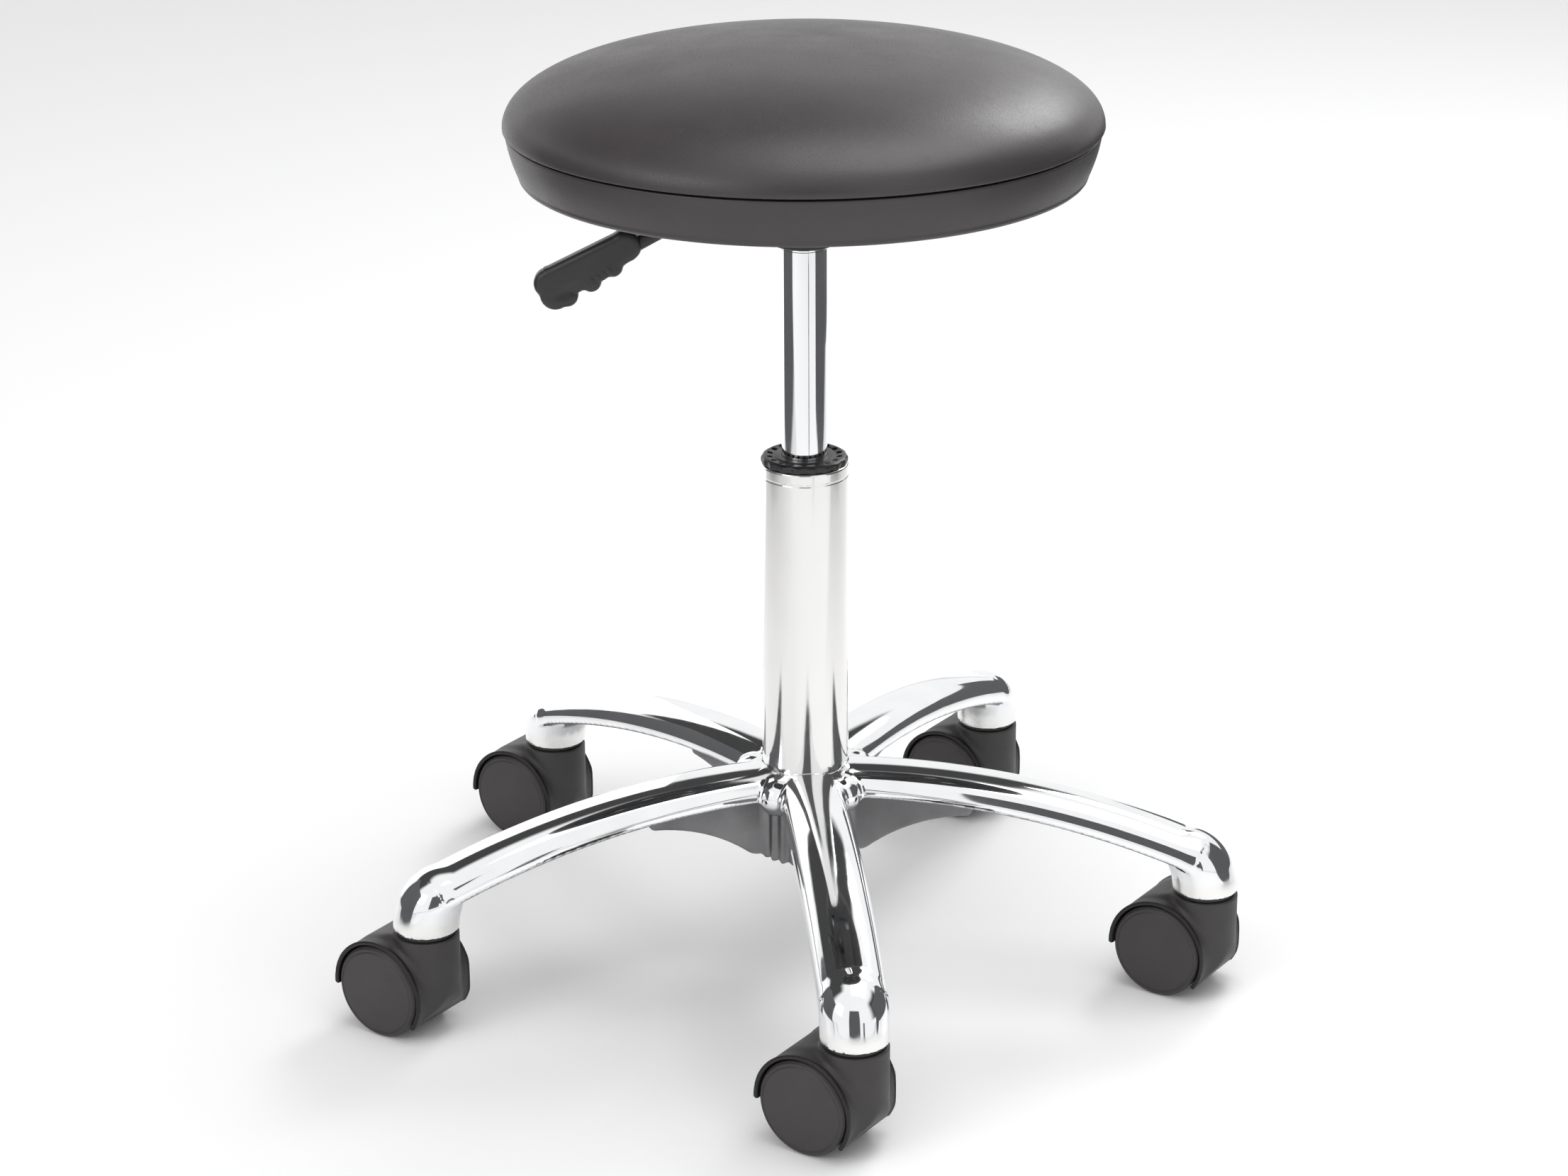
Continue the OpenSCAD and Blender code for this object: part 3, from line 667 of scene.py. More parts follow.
def collar_field(x, y, z):
    """Guide bush: a toothed flange with a ring of pockets, a raised inner lip, and the top of its sleeve."""
    r = np.hypot(x, y)
    a = np.arctan2(y, x)
    tooth = 0.45 * np.cos(a * TEETH)
    body = smax(r - 26.3 - tooth * step01(COLLAR_TOP - z, 0.2, 1.6), COL_TOP + 0.15 - z, 0.8)
    body = smax(body, z - COLLAR_TOP + 0.05 * (r - 20), 1.6)
    lip = smax(np.abs(r - 23.6) - 1.3, np.abs(z - COLLAR_TOP + 0.6) - 0.7, 0.6)
    body = smin(body, lip, 0.5)
    body = smax(body, -smax(np.abs(r - 19.7) - 1.1, COLLAR_TOP - 0.5 - z, 0.5), 0.5)
    pitch = 2 * math.pi / TEETH
    cell = a - (np.round(a / pitch - 0.5) + 0.5) * pitch
    pit = smax(np.hypot(r * np.cos(cell) - 21.6, r * np.sin(cell)) - 1.75, COLLAR_TOP - 2.6 - z, 0.4)
    body = smax(body, -pit, 0.5)
    sleeve = smax(r - 23.4, np.abs(z - COL_TOP + 2) - 3, 0.4)
    return smax(smin(body, sleeve, 0.5), 14.06 - r, 0.5)


lo, hi = low("guide_collar"), high("guide_collar")
field_piece("toothed_collar", collar_field, (lo.x, lo.y, COL_TOP - 6), hi, (0.8, 0.42), "base",
            "black_collar", ["guide_collar"])

GAS_LOW, GAS_TOP, GAS_R = low("gas_cylinder").z, high("gas_cylinder").z, 14.0
lathe_piece("lift_cylinder",
            [(5.05, GAS_LOW, 0.3), (GAS_R, GAS_LOW, 1.2), (GAS_R, 469.5, 0.2), (GAS_R - 0.25, 469.8, 0.1),
             (GAS_R - 0.25, 470.6, 0.1), (GAS_R, 470.9, 0.1), (13.3, GAS_TOP, 1.0), (4.05, GAS_TOP, 0.4),
             (4.05, 474, 0.2), (12, 470, 0.5), (12, GAS_LOW + 8, 0.5), (5.05, GAS_LOW + 8, 0.3)],
            128, "seat", "chrome_cylinder", ["gas_cylinder"])

# --- castors ---

# In a castor's own frame X is back from the stem, Y runs along the axle, and the wheels are at X = TRAIL.
TRAIL, WHEEL_R, NECK_TOP = 20.2, 29.8, 67.0
WHEEL_IN, WHEEL_W = 5.5, 20.9


def hood_field(x, y, z):
    """Castor hood: the neck, a sloping back, a fender over each wheel with its rim, and a well for each."""
    yy = np.abs(y)
    q = np.hypot(x - TRAIL, z - WHEEL_R)
    neck = smax(np.hypot(x, y) - 20.2, z - NECK_TOP, 1.2)
    neck = smax(neck, np.where(z < 35, np.hypot(x - 0.8, z - 35) - 21, -5 + 0 * x), 1.0)
    top = smax(z - NECK_TOP + 0.2, 0.379 * (x - 16.5) + 0.925 * (z - 66.3), 3)
    slope = smax(smax(top, yy - 15.5 - 0.10 * (66 - z), 5), x - 37.5, 3)
    slope = smax(smax(slope, 38 - z, 2), -x, 2)
    corner = 0.57 * yy - 0.82 * x
    fender = smax(smax(q - 33.0, yy - 25.4, 1.2), corner - 24.0, 2.5)
    body = smin(smin(neck, slope, 2.5), fender, 3.5)
    well = smax(q - 30.7, 4.5 - yy, 1.2)
    body = smax(body, -well, 0.7)
    under = np.interp(x, [-40, -4.8, 20.2, 80], [-2.0, 11.3, 22.8, 30.8])
    body = smax(body, (under - z) * 0.9, 1.2)
    body = smax(body, -smax(np.hypot(x, y) - 4.1, 39.5 - z, 0.3), 0.4)
    rim = smax(np.abs(q - 32.3) - 1.15, np.abs(yy - 24.7) - 1.1, 0.6)
    rim = smax(smax(rim, (under - z) * 0.9 + 0.4, 0.6), corner - 24.3, 0.8)
    return smin(body, rim, 0.4)


p, f, n = field_mesh(hood_field, (-21, -26, 5), (54, 26, 68), 0.85, 4)
HOOD = make_mesh("castor_hood", p, f, n)
# Painted shade: the rim bead and the inside of each wheel well are blackened through an attribute, standing in for
# the dark shadowed gap round each wheel.
edge_q, side_y = np.hypot(p[:, 0] - TRAIL, p[:, 2] - WHEEL_R), np.abs(p[:, 1])
on_rim, in_well = step01(side_y, 23.4, 23.9) * (edge_q < 34), (edge_q < 31.6) * step01(side_y, 4.2, 5)
painted_shade_v = np.maximum(on_rim, in_well).astype(np.float32)
HOOD.attributes.new("shade", "FLOAT", "POINT").data.foreach_set("value", painted_shade_v)


def wheel_mesh(name, flip):
    """Wheel turned about its axle, drawn along Z from its inner face, then laid on the castor's Y."""
    w = WHEEL_W
    pts, faces, normals = lathe(
        [(3.05, 0, 0.3), (7, 0, 0.6), (7, w - 6, 0.8), (24.8, w - 6, 1), (24.8, 0, 0.5), (28.4, 0, 0.6),
         (WHEEL_R, 1.5, 0.9), (WHEEL_R, w - 2.4, 1.6), (28.1, w - 0.55, 0.7), (27.3, w - 0.55, 0.2),
         (27.1, w - 0.85, 0.2), (26.5, w - 0.85, 0.3), (25.8, w - 0.3, 0.9), (14, w + 0.25, 30),
         (0, w + 0.4), (0, w - 2.5), (3.05, w - 2.5, 0.2)], 128, 6, split=4.5)
    turn = np.array([[1, 0, 0], [0, 0, 1], [0, 1, 0.0]])
    pts, normals = pts @ turn.T, normals @ turn.T
    if not flip:
        faces = [fc[::-1] for fc in faces]
        order, at = [], 0
        for fc in faces:
            order += list(range(at + len(fc) - 1, at - 1, -1))
            at += len(fc)
        normals = normals[order]
        pts = pts + np.array([TRAIL, WHEEL_IN, WHEEL_R])
    else:
        pts[:, 1] *= -1
        normals[:, 1] *= -1
        pts = pts + np.array([TRAIL, -WHEEL_IN, WHEEL_R])
    return make_mesh(name, pts, faces, loop_normals=normals)


WHEEL_A, WHEEL_B = wheel_mesh("castor_wheel_a", False), wheel_mesh("castor_wheel_b", True)
# The flange under each socket is widened to 18 mm so that the gap between the socket and the hood is filled by it.
stem_p, stem_f, stem_n = lathe(
    [(0, 40), (3.4, 40, 0.3), (4, 40.8, 0.3), (4, 67.3, 0.2), (17.6, 67.3, 0.3), (18, 67.6, 0.2),
     (18, 69.9, 0.3), (5.4, 69.9, 0.3), (5.4, 85, 0.2), (4.7, 85, 0.2), (4.7, 88, 0.2), (5.4, 88, 0.2),
     (5.4, 91.4, 0.3), (4.6, 92.2, 0.2), (0, 92.2)], 48)
places = []
for c in CASTORS:
    stem = Vector(JOINTS[c + "_swivel"]["pos_m"])
    axis = JOINTS[c + "_wheel_a_spin"]["axis"]
    across = Vector(axis).normalized()
    back = Vector((across.y, -across.x, 0))
    m = Matrix(((back.x, across.x, 0, stem.x), (back.y, across.y, 0, stem.y), (0, 0, 1, 0), (0, 0, 0, 1)))
    piece(c + "_castor_hood", HOOD, c + "_castor", "charcoal_nylon", [c + "_hood"], m)
    for side, mesh in (("a", WHEEL_A), ("b", WHEEL_B)):
        wheel = c + "_wheel_" + side
        piece(c + "_twin_wheel_" + side, mesh, wheel + "_roll", "wheel_nylon", [wheel], m)
    places.append((np.eye(3), np.array([stem.x / MM, stem.y / MM, 0])))
p, f, n = spread(stem_p, stem_f, stem_n, places)
# The stems take the black finish: painted shade for the dark gap under each socket.
piece("castor_stem_set", make_mesh("castor_stem_set", p, f, loop_normals=n), "base",
      "black_steel", ["castor_stems"])

# --- seat ---

SEAM_Z, CROWN, SEAT_R = 546.0, 46.7, 178.5
RNG = np.random.RandomState(7)


def ripple(orders, count):
    """A smooth periodic wave of the angle, between about -1 and 1, made of a few orders in a range."""
    k = RNG.randint(orders[0], orders[1], count)
    ph, am = RNG.uniform(0, 2 * math.pi, count), RNG.uniform(0.4, 1, count)
    return lambda a: sum(m * np.cos(i * a + q) for i, q, m in zip(k, ph, am)) / am.sum()


def turned_rows(name, rows, segments, shift=None, closed=True):
    """Rows of (r, z) turned about Z, their points moved by shift(row, angle) -> (dr, dz). A row at r 0 is
    one point."""
    a = np.arange(segments) * 2 * math.pi / segments
    pts, ids = [], []
    for i, (r, z) in enumerate(rows):
        if r <= 1e-6:
            ids.append([len(pts)] * segments)
            pts.append((0, 0, z))
            continue
        dr, dz = shift(i, a) if shift else (0 * a, 0 * a)
        ids.append(list(range(len(pts), len(pts) + segments)))
        pts += [((r + u) * math.cos(t), (r + u) * math.sin(t), z + v) for t, u, v in zip(a, dr, dz)]
    faces = []
    for i in range(len(rows) - (0 if closed else 1)):
        p, q = ids[i], ids[(i + 1) % len(rows)]
        for j in range(segments):
            k = (j + 1) % segments
            quad = [p[j], p[k], q[k], q[j]]
            quad = [v for m, v in enumerate(quad) if v not in quad[:m]]
            if len(quad) > 2:
                faces.append(quad)
    return make_mesh(name, pts, faces)


def crown_row(a, r, h):
    """Point of the crown's superellipse profile at parameter a."""
    return r * math.cos(a) ** (2 / 2.31), SEAM_Z + h * math.sin(a) ** (2 / 2.19)


def build_cushion():
    """The stuffed top: blown up by a cloth simulation from a slightly flatter shape, held round its seam."""
    segments, rows_n = ((160, 40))
    start_h = CROWN - 1.2
    dome = [crown_row(math.pi / 2 * (i / rows_n) ** 0.9, SEAT_R, start_h) for i in range(rows_n, 0, -1)]
    dome[0] = (0, dome[0][1])
    edge = [(SEAT_R, SEAM_Z + 0.35), (178.2, SEAM_Z - 0.15), (177.5, SEAM_Z - 0.4),
            (176.4, SEAM_Z - 0.35), (175.0, SEAM_Z - 0.6)]
    inner = [(172.0, 540), (167.5, 532), (165.8, 529.6), (150, 529.2), (80, 529.2), (0, 529.2)]
    rows = (dome + edge + inner)[::-1]
    me = turned_rows("padded_top", rows, segments, closed=False)
    ob = bpy.data.objects.new("padded_top", me)
    bpy.context.scene.collection.objects.link(ob)
    start = np.array([v.co for v in me.vertices]) / MM
    r = np.hypot(start[:, 0], start[:, 1])
    held = (start[:, 2] < SEAM_Z + 0.5) | (r > SEAT_R - 0.4)
    group = ob.vertex_groups.new(name="held")
    group.add([int(i) for i in np.flatnonzero(held)], 1.0, "REPLACE")
    swell = 1 - np.clip(r / SEAT_R, 0, 1) ** 2
    move = np.zeros_like(start)
    # Pressure under the vinyl. The result is then fitted to two smooth waves and a little of its own.
    cloth = ob.modifiers.new("cloth", "CLOTH")
    s = cloth.settings
    s.quality, s.mass, s.air_damping = 8, 0.3, 1.5
    s.tension_stiffness = s.compression_stiffness = 15
    s.shear_stiffness, s.bending_stiffness = 6, 8
    s.use_pressure, s.uniform_pressure_force = True, 2
    s.vertex_group_mass = "held"
    s.effector_weights.gravity = 0
    cloth.collision_settings.use_collision = False
    scene = bpy.context.scene
    for f in range(1, 23):
        scene.frame_set(f)
    got = ob.evaluated_get(bpy.context.evaluated_depsgraph_get()).to_mesh()
    move = np.array([v.co for v in got.vertices]) / MM - start
    ob.modifiers.remove(cloth)
    scene.frame_set(1)
    print("cushion moved", round(float(np.linalg.norm(move, axis=1).max()), 2), "mm")
    free = ~held
    basis = np.stack([swell, swell ** 2], 1)
    even = np.linalg.lstsq(basis[free], move[free, 2], rcond=None)[0]
    rest = 0.25 * (move[:, 2] - basis @ even) * np.minimum(1, r / 60)
    move[:, 2] = np.where(free, basis @ even + rest, 0)
    height = move[r < 1e-3, 2].max() + start_h
    end = start + move
    end[:, 2] += np.where(held, 0, (CROWN - height) * (0.6 * swell + 0.4 * swell ** 2))
    a = np.arctan2(end[:, 1], end[:, 0])
    up = (start[:, 2] > SEAM_Z + 0.3).astype(float)
    from_seam = np.clip(SEAT_R - r, 0, None) + np.clip(start[:, 2] - SEAM_Z, 0, None) * 0.7
    pucker = ripple((34, 90), 22)(a) * np.exp(-from_seam / 7.0) * 0.42
    broad = (ripple((2, 7), 8)(a) * 0.35 * (r / SEAT_R) ** 2) * np.exp(-(from_seam / 90) ** 2)
    out = np.stack([np.cos(a), np.sin(a), np.full_like(a, 0.6)], 1)
    end += out * ((pucker + broad) * up)[:, None]
    me.vertices.foreach_set("co", (end * MM).astype(np.float32).ravel())
    me.update()
    me.materials.append(MAT["seat_vinyl"])
    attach(ob, "seat")
    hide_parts("top_cover", "foam_pad")


build_cushion()


def build_band():
    """Vinyl side band: outer face, lip at the seam, back, and a hem turned under the board."""
    low_r, low_z, under = 169.8, 519.0, 515.5
    n_out, t = 16, 1.2
    top = SEAM_Z - 1.7
    outer = [(low_r + (177.0 - low_r) * i / n_out + 0.9 * math.sin(math.pi * i / n_out),
              low_z + (top - 0.8 - low_z) * i / n_out) for i in range(n_out + 1)]
    lip = [(176.9, top - 0.3), (176.3, top), (175.6, top - 0.15), (175.2, top - 0.8)]
    back = [(o[0] - t - 0.5, o[1]) for o in outer[::-4]]
    roll_r = low_r - 3.5
    inner_roll = [(roll_r + 2.3 * math.cos(w), low_z - 2.3 * math.sin(w))
                  for w in np.linspace(0.3, math.pi / 2, 4)]
    hem_in = [(158, under + t), (150, under + t), (143, under + t), (142.2, under + t * 0.8)]
    hem_out = [(142.2, under + t * 0.2)] + [(r, under) for r in (143, 147, 151, 154, 157, 160)]
    roll = [(roll_r + 3.5 * math.sin(w), low_z - 3.5 * math.cos(w))
            for w in np.linspace(0.05, math.pi / 2 - 0.05, 9)]
    rows = outer + lip + back + inner_roll + hem_in + hem_out + roll
    seam_wave, roll_wave, pleat = ripple((30, 80), 18), ripple((12, 60), 20), ripple((36, 76), 14)
    sway = ripple((2, 6), 6)

    def shift(i, a):
        r, z = rows[i]
        dr = 0.25 * seam_wave(a) * math.exp(-(top - z) / 5)
        dr = dr + 0.22 * roll_wave(a) * math.exp(-abs(z - low_z) / 5)
        dr = dr + 0.3 * sway(a) * math.sin(math.pi * min(max((z - under) / 30, 0), 1))
        dz = 0.45 * pleat(a) * math.exp(-((r - 160) / 4.5) ** 2) * (z < low_z - 1)
        return dr, np.abs(dz)

    me = turned_rows("side_band", rows, 240, shift)
    ob = piece("side_band", me, "seat", "seat_vinyl", ["band_cover"])


build_band()


DUST_R, DUST_Z = 152.0, low("dust_cover").z
STAPLES, STAPLE_R = 24, 147


def build_dust_cloth():
    """The cloth under the board, pulled up at each staple and slack inside them."""
    z0, t, rim = DUST_Z, 0.4, DUST_R
    spaces = [0, 12, 30, 50, 70, 90, 104, 112, 119, 126, 132, 137, 141, 144.5, 147, 149, 150.6, 151.4]
    edge_rows = [(rim, z0 + t * 0.3), (rim, z0 + t * 0.7)]
    rows = [(r, z0) for r in spaces] + edge_rows + [(r, z0 + t) for r in spaces[::-1]]
    wrinkle, slack = ripple((10, 44), 16), ripple((3, 9), 6)

    def shift(i, a):
        r, z = rows[i]
        loose = math.exp(-((r - 128) / 11) ** 2)
        pull = (1 - np.cos(STAPLES * a)) / 2
        dz = -loose * (0.7 + 0.45 * wrinkle(a) + 0.3 * slack(a))
        dz = dz - 0.35 * pull * math.exp(-((r - 147) / 3) ** 2)
        edge = step01(np.array(r), 146, 152)
        return -0.9 * pull * edge, dz

    me = turned_rows("dust_cloth", rows[::-1], 240, lambda i, a: shift(len(rows) - 1 - i, a), closed=False)
    me.flip_normals()
    ob = piece("dust_cloth", me, "seat", "dust_cloth", ["dust_cover"])


build_dust_cloth()


def bent_wire(x, y, z, points, r):
    """Round wire through a few points."""
    d = None
    for a, b in zip(points, points[1:]):
        c = capsule(x, y, z, a, b, r)
        d = c if d is None else smin(d, c, 0.3)
    return d


staple = [(0, -4.5, 6.8), (0, -4.5, -0.45), (0, 4.5, -0.45), (0, 4.5, 6.8)]
p, f, n = field_mesh(lambda x, y, z: bent_wire(x, y, z, staple, 0.42), (-0.5, -5, -1), (0.5, 5, 7.3), 0.25, 3)
places = []
for i in range(STAPLES):
    a = (i + 0.5) * 2 * math.pi / STAPLES
    turn = turn_z(a + RNG.uniform(-0.05, 0.05))
    places.append((turn, np.array([STAPLE_R * math.cos(a), STAPLE_R * math.sin(a), DUST_Z])))
p, f, n = spread(p, f, n, places)
piece("cover_staples", make_mesh("cover_staples", p, f, n), "seat", "bare_steel", ["staples"])

PLATE_Z, PLATE_TOP, BOLT_XY = 512.2, 514.8, 58.0
LEVER_Z = JOINTS["lever_tilt"]["pos_m"][2] / MM
PIVOT_X, BEND_X, SLOPE = -22.0, -40.0, math.radians(29)
SOCKET_Z = low("seat_plate").z


def plate_field(x, y, z):
    """Pressed plate: folded edge, diagonal beads, taper socket with its weld, and lever cheeks."""
    r = np.hypot(x, y)
    ax, ay = np.abs(x), np.abs(y)
    plate = smax(smax(ax, ay, 2) - 78, (ax + ay - 146.3) * 0.707, 3)
    plate = smax(plate, np.abs(z - (PLATE_Z + PLATE_TOP) / 2) - 1.3, 0.7)
    big, small = np.maximum(ax, ay), np.minimum(ax, ay)
    lip = smax(smax(np.abs(big - 76.7) - 1.3, small - 66, 1.2), np.abs(z - 509.8) - 4.8, 0.8)
    body = smin(plate, lip, 2.2)
    along, across = (ax + ay) * 0.7071, np.abs(ax - ay) * 0.7071
    past = np.clip(np.abs(along - 48) - 14, 0, None)
    bead = np.sqrt(past ** 2 + across ** 2 + (z - PLATE_Z - 2.2) ** 2) - 3.9
    bead = smax(bead, z - PLATE_TOP + 0.2, 0.3)
    body = smin(body, bead, 1.2)
    tube = smax(r - 19, np.abs(z - (SOCKET_Z + 513.5) / 2) - (513.5 - SOCKET_Z) / 2, 1.0)
    weld = np.sqrt((r - 19.4) ** 2 + (z - PLATE_Z + 0.6) ** 2) - 2.3 - 0.25 * np.cos(np.arctan2(y, x) * 34)
    body = smin(smin(body, tube, 0.8), weld, 0.8)
    cheek = box_field(x, ay, z, (-31, 4.95, LEVER_Z - 8), (-7, 7.45, PLATE_Z + 1), 3)
    cheek = smax(cheek, np.abs(ay - 6.2) - 1.25, 0.5)
    body = smin(body, cheek, 1.0)
    body = smax(body, -smax(r - (14.03 - 0.7 * np.clip((z - SOCKET_Z) / 25, 0, 1)), z - 497.2, 0.3), 0.4)
    body = smax(body, -smax(r - 15, np.abs(z - 505.3) - 8.4, 0.5), 0.4)
    slot = box_field(x, y, z, (-24, -4.95, LEVER_Z - 7.3), (12, 4.95, PLATE_Z), 0.5)
    body = smax(body, -slot, 0.5)
    hole = np.hypot(x - PIVOT_X, z - LEVER_Z) - 2.53
    body = smax(body, -np.where(ay < 9, hole, 9.0), 0.3)
    bolt = smax(np.hypot(ax - BOLT_XY, ay - BOLT_XY) - 3.3, np.abs(z - 513.5) - 4, 0.3)
    return smax(body, -bolt, 0.4)


field_piece("mounting_plate", plate_field, (-78, -78, SOCKET_Z), (78, 78, PLATE_TOP), (2.0, 1.1), "seat",
            "black_steel", ["seat_plate"])


def bolt_field(x, y, z):
    """M6 bolt, head down, with a dished head."""
    flats = [np.abs(x * math.cos(k) + y * math.sin(k)) for k in (0, math.pi / 3, 2 * math.pi / 3)]
    hexa = np.maximum.reduce(flats) - 5.0
    r = np.hypot(x, y)
    head = smax(smax(hexa, np.abs(z - 508.8) - 2.0, 0.3), (r - 5.2 + (506.8 - z) * 1.2) * 0.7, 0.3)
    head = smax(head, -(np.sqrt(x * x + y * y + (z - 501.2) ** 2) - 6.2), 0.3)
    shank = smax(r - 2.93, np.abs(z - 518.5) - 8.5, 0.4)
    return smin(head, shank, 0.3)


p, f, n = field_mesh(bolt_field, (-6, -6, 506), (6, 6, 528), 0.45, 3)
corners = [np.array([sx * BOLT_XY, sy * BOLT_XY, 0]) for sx in (-1, 1) for sy in (-1, 1)]
p, f, n = spread(p, f, n, [(turn_z(0.4 * i), at) for i, at in enumerate(corners)])
piece("hex_bolts", make_mesh("hex_bolts", p, f, n), "seat", "bolt_steel", ["plate_bolts"])
p, f, n = lathe([(3.2, 510.9, 0.2), (8, 510.9, 0.35), (8, 512.1, 0.35), (3.2, 512.1, 0.2)], 64)
p, f, n = spread(p, f, n, [(np.eye(3), at) for at in corners])
piece("flat_washers", make_mesh("flat_washers", p, f, loop_normals=n), "seat", "bare_steel",
      ["bolt_washers"])

# --- lever ---


def rod_field(x, y, z):
    """Bent steel rod of the lever, drilled for its pivot pin."""
    far = (BEND_X - 79 * math.cos(SLOPE), 0, LEVER_Z - 79 * math.sin(SLOPE))
    inner = capsule(x, y, z, (BEND_X, 0, LEVER_Z), (6, 0, LEVER_Z), 4.25)
    inner = smax(inner, x - 2.9, 1.5)
    rod = smin(inner, capsule(x, y, z, (BEND_X, 0, LEVER_Z), far, 4.25), 2)
    return smax(rod, -(np.hypot(x - PIVOT_X, z - LEVER_Z) - 2.55), 0.4)


field_piece("release_rod", rod_field, (-114, -4.5, LEVER_Z - 44), (3, 4.5, LEVER_Z + 4.5), (1.0, 0.6),
            "lever", "black_steel", ["lever_rod"])

GRIP_HALF = 6.5


def grip_field(x, y, z):
    """Finger grip: a flat paddle with finger hollows below, a scooped end and four ribs."""
    q, h = -(x - BEND_X), z - LEVER_Z
    u = q * math.cos(SLOPE) - h * math.sin(SLOPE)
    v = q * math.sin(SLOPE) + h * math.cos(SLOPE)
    flat = polygon_field(u, v, [(67, 7), (74, 12.3), (125, 14.4), (131, 5), (129, -4), (118, -8),
                                (96, -9), (74, -6)])
    for cu, cv, r in ((74.5, 2.9, 9.4), (127, 5.4, 9), (127, -2.5, 9.3),
                      (121, -6.5, 6.8), (104, -6, 6.3), (88, -4.4, 6.2)):
        flat = smin(flat, np.hypot(u - cu, v - cv) - r, 1.5)
    for cu, cv, r in ((112.5, -16.3, 5), (96, -15.2, 5)):
        flat = smax(flat, -(np.hypot(u - cu, v - cv) - r), 1.5)
    side = np.abs(y)
    body = smax(flat, side - GRIP_HALF, 4.5)
    scoop = np.sqrt(((u - 118) / 2.4) ** 2 + ((v + 3.5) / 1.15) ** 2 + (side - 11.6) ** 2) - 5.6
    body = smax(body, -scoop, 1.5)
    ribs = [np.hypot(u - 90 - 4.2 * k, (v + 6.0) * 0.5) - 0.9 for k in range(4)]
    pads = smax(np.minimum.reduce(ribs), np.abs(side - GRIP_HALF + 1.2) - 1.1, 0.4)
    body = smin(body, pads, 0.9)
    bore = smax(np.hypot(v, y) - 4.28, u - 80.2, 0.4)
    return smax(body, -bore, 0.4)


field_piece("finger_grip", grip_field, low("lever_grip"), high("lever_grip"), (1.1, 0.55), "lever",
            "grip_plastic", ["lever_grip"])

# --- studio ---

CAM_AT = Vector((0, -2.137, 1.0616))
PITCH, YAW, ROLL = math.radians(20.775), math.radians(-0.347), math.radians(-0.295)
ahead = Vector((math.sin(YAW) * math.cos(PITCH), math.cos(YAW) * math.cos(PITCH), -math.sin(PITCH)))
side0 = Vector((math.cos(YAW), -math.sin(YAW), 0))
up0 = side0.cross(ahead)
right = side0 * math.cos(ROLL) + up0 * math.sin(ROLL)
up = up0 * math.cos(ROLL) - side0 * math.sin(ROLL)
cam = bpy.data.objects.new("camera", bpy.data.cameras.new("camera"))
bpy.context.scene.collection.objects.link(cam)
cam.matrix_world = Matrix(((right.x, up.x, -ahead.x, CAM_AT.x), (right.y, up.y, -ahead.y, CAM_AT.y),
                           (right.z, up.z, -ahead.z, CAM_AT.z), (0, 0, 0, 1)))
cam.data.sensor_width = 36
cam.data.lens = 84.505
cam.data.clip_end = 60
bpy.context.scene.camera = cam


def stage_material(name, color, emission=0.0):
    n = Nodes(name)
    n.bsdf.inputs["Base Color"].default_value = (*color, 1)
    n.bsdf.inputs["Roughness"].default_value = 0.9
    n.bsdf.inputs["Specular IOR Level"].default_value = 0.1
    if emission:
        n.bsdf.inputs["Emission Color"].default_value = (*color, 1)
        n.bsdf.inputs["Emission Strength"].default_value = emission
    return n.mat


def stage_plane(name, centre, u, v, mat):
    """A rectangle of the studio, centred at a point, with half sides u and v, in metres."""
    c, u, v = Vector(centre), Vector(u), Vector(v)
    me = bpy.data.meshes.new(name)
    me.from_pydata([c - u - v, c + u - v, c + u + v, c - u + v], [], [(0, 1, 2, 3)])
    me.materials.append(mat)
    ob = bpy.data.objects.new(name, me)
    bpy.context.scene.collection.objects.link(ob)
    return ob


stage_plane("studio_floor", (0, 0, 0), (9, 0, 0), (0, 9, 0),
            stage_material("floor_pale", (0.92, 0.92, 0.925)))
DARK = stage_material("flag_grey", (0.10, 0.10, 0.105))
WHITE = stage_material("card_white", (0.93, 0.93, 0.92), 0.25)


def fading_material():
    """Card on the floor at each side: pale near the stool and grey far away."""
    n = Nodes("card_fading")
    xyz = n.new("ShaderNodeSeparateXYZ")
    n.link(n.where, xyz.inputs[0])
    side = n.math("ABSOLUTE", xyz.outputs[0])
    near, far = n.remap(side, 0.38, 0.80, 0.92, 0.70), n.remap(side, 0.88, 1.10, 1.0, 0.17, smooth=True)
    grey = n.math("MULTIPLY", near, far)
    tone = n.new("ShaderNodeCombineColor")
    for i in range(3):
        n.link(grey, tone.inputs[i])
    return n.finish(tone.outputs[0], 0.9, Specular_IOR_Level=0.1)


CARD = fading_material()
# Flags and cards that only reflections see. Each has its centre and its two half sides, in metres.
for name, c, u, v, mat in (
        ("flag_left", (-0.98, -0.05, 0.42), (0, 0.55, 0), (0, 0, 0.42), DARK),
        ("flag_right", (0.98, -0.05, 0.42), (0, 0.55, 0), (0, 0, 0.42), DARK),
        ("flag_front", (0.06, -2.6, 1.25), (0.72, 0, 0), (0, 0, 1.0), DARK),
        ("flag_back_right", (0.95, 0.95, 0.21), (0.40, -0.42, 0), (0, 0, 0.21), DARK),
        ("flag_strip", (0.35, -0.83, 0.13), (0.030, 0, 0), (0, 0, 0.09), DARK),
        ("card_back_left", (-0.47, 0.46, 0.26), (0.35, 0, 0), (0, 0, 0.26), WHITE),
        ("card_floor_left", (-1.1, 0.1, 0.0015), (0.72, 0, 0), (0, 0.9, 0), CARD),
        ("card_floor_right", (1.1, 0.35, 0.0015), (0.72, 0, 0), (0, 0.68, 0), CARD)):
    flag = stage_plane(name, c, u, v, mat)
    flag.visible_camera = flag.visible_diffuse = flag.visible_shadow = flag.visible_transmission = False


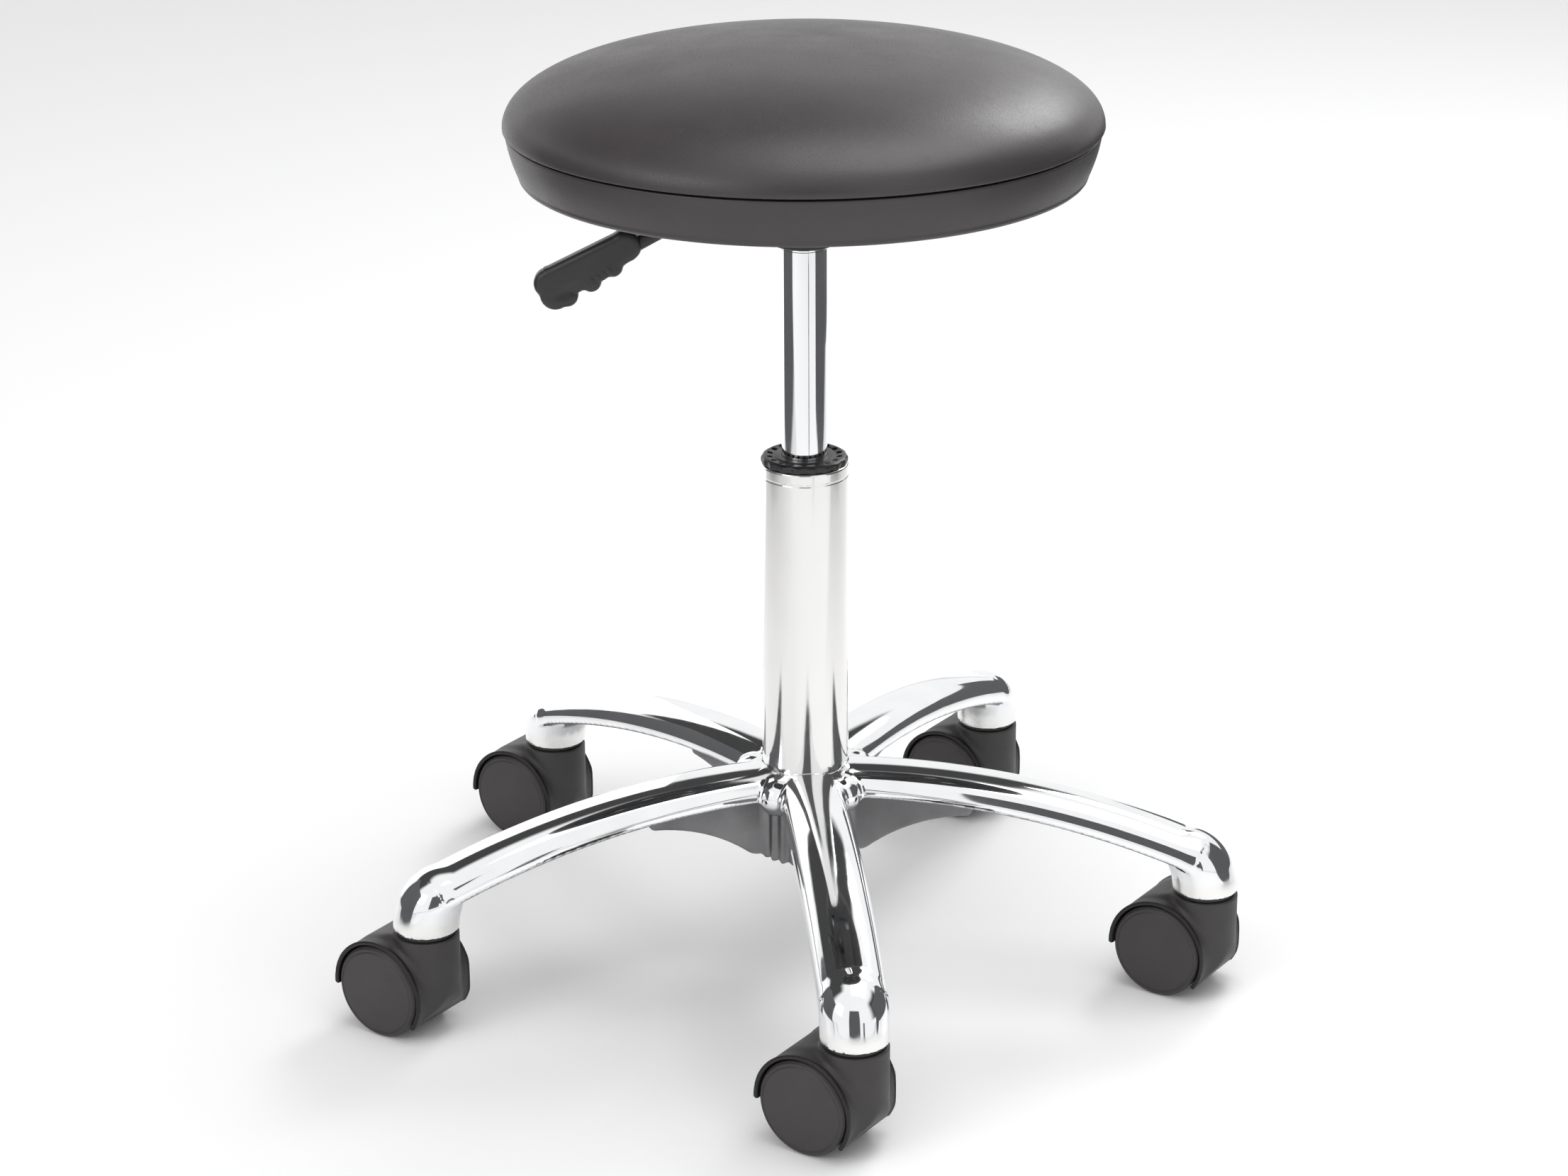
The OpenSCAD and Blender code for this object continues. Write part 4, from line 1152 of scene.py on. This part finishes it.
def build_world():
    """White surroundings with two dark windows, given by elevation and azimuth in degrees."""
    world = bpy.data.worlds.new("studio")
    bpy.context.scene.world = world
    world.use_nodes = True
    t = world.node_tree
    new, link = t.nodes.new, t.links.new

    def op(kind, a, b=None):
        m = new("ShaderNodeMath")
        m.operation = kind
        for i, x in enumerate((a, b)):
            if x is None:
                continue
            if isinstance(x, (int, float)):
                m.inputs[i].default_value = x
            else:
                link(x, m.inputs[i])
        return m.outputs[0]

    def window(value, a, b, c, d):
        """1 between b and c, falling to 0 at a and d."""
        out = []
        for lo_, hi_, x, y in ((a, b, 0, 1), (c, d, 1, 0)):
            m = new("ShaderNodeMapRange")
            m.interpolation_type = "SMOOTHSTEP"
            for i, k in zip((1, 2, 3, 4), (lo_, hi_, x, y)):
                m.inputs[i].default_value = k
            link(value, m.inputs[0])
            out.append(m.outputs[0])
        return op("MULTIPLY", *out)

    xyz = new("ShaderNodeSeparateXYZ")
    link(new("ShaderNodeTexCoord").outputs["Generated"], xyz.inputs[0])
    deg = 180 / math.pi
    elev = op("MULTIPLY", op("ARCSINE", xyz.outputs[2]), deg)
    azim = op("MULTIPLY", op("ARCTAN2", xyz.outputs[0], xyz.outputs[1]), deg)
    dark = op("MULTIPLY", window(elev, 26, 32, 58, 72), window(azim, -105, -85, 15, 21))
    dark2 = op("MULTIPLY", window(elev, 6, 12, 40, 52), window(azim, 62, 78, 110, 130))
    dim = op("MULTIPLY", op("MAXIMUM", dark, dark2), 0.94)
    light = op("SUBTRACT", 1.0, dim)
    bg = t.nodes["Background"]
    link(light, bg.inputs["Strength"])
    bg.inputs["Color"].default_value = (1.0, 1.0, 1.0, 1)


build_world()


def softbox(name, at, aim, size, power):
    data = bpy.data.lights.new(name, "AREA")
    data.shape = "RECTANGLE"
    data.size, data.size_y = size
    data.energy = power
    ob = bpy.data.objects.new(name, data)
    bpy.context.scene.collection.objects.link(ob)
    ob.location = at
    ob.rotation_mode = "QUATERNION"
    ob.rotation_quaternion = (Vector(aim) - Vector(at)).to_track_quat("-Z", "Y")
    return ob


softbox("softbox_top", (0.55, 0.0, 2.35), (0.1, 0, 0.5), (1.7, 1.5), 19)
softbox("softbox_back_right", (1.25, 2.0, 2.1), (0, 0, 0.55), (1.0, 0.8), 19)
softbox("softbox_front_left", (-1.8, -1.6, 1.6), (0, 0, 0.4), (1.0, 1.0), 10)

view = bpy.context.scene.view_settings
view.view_transform = "Standard"
view.look = "None"
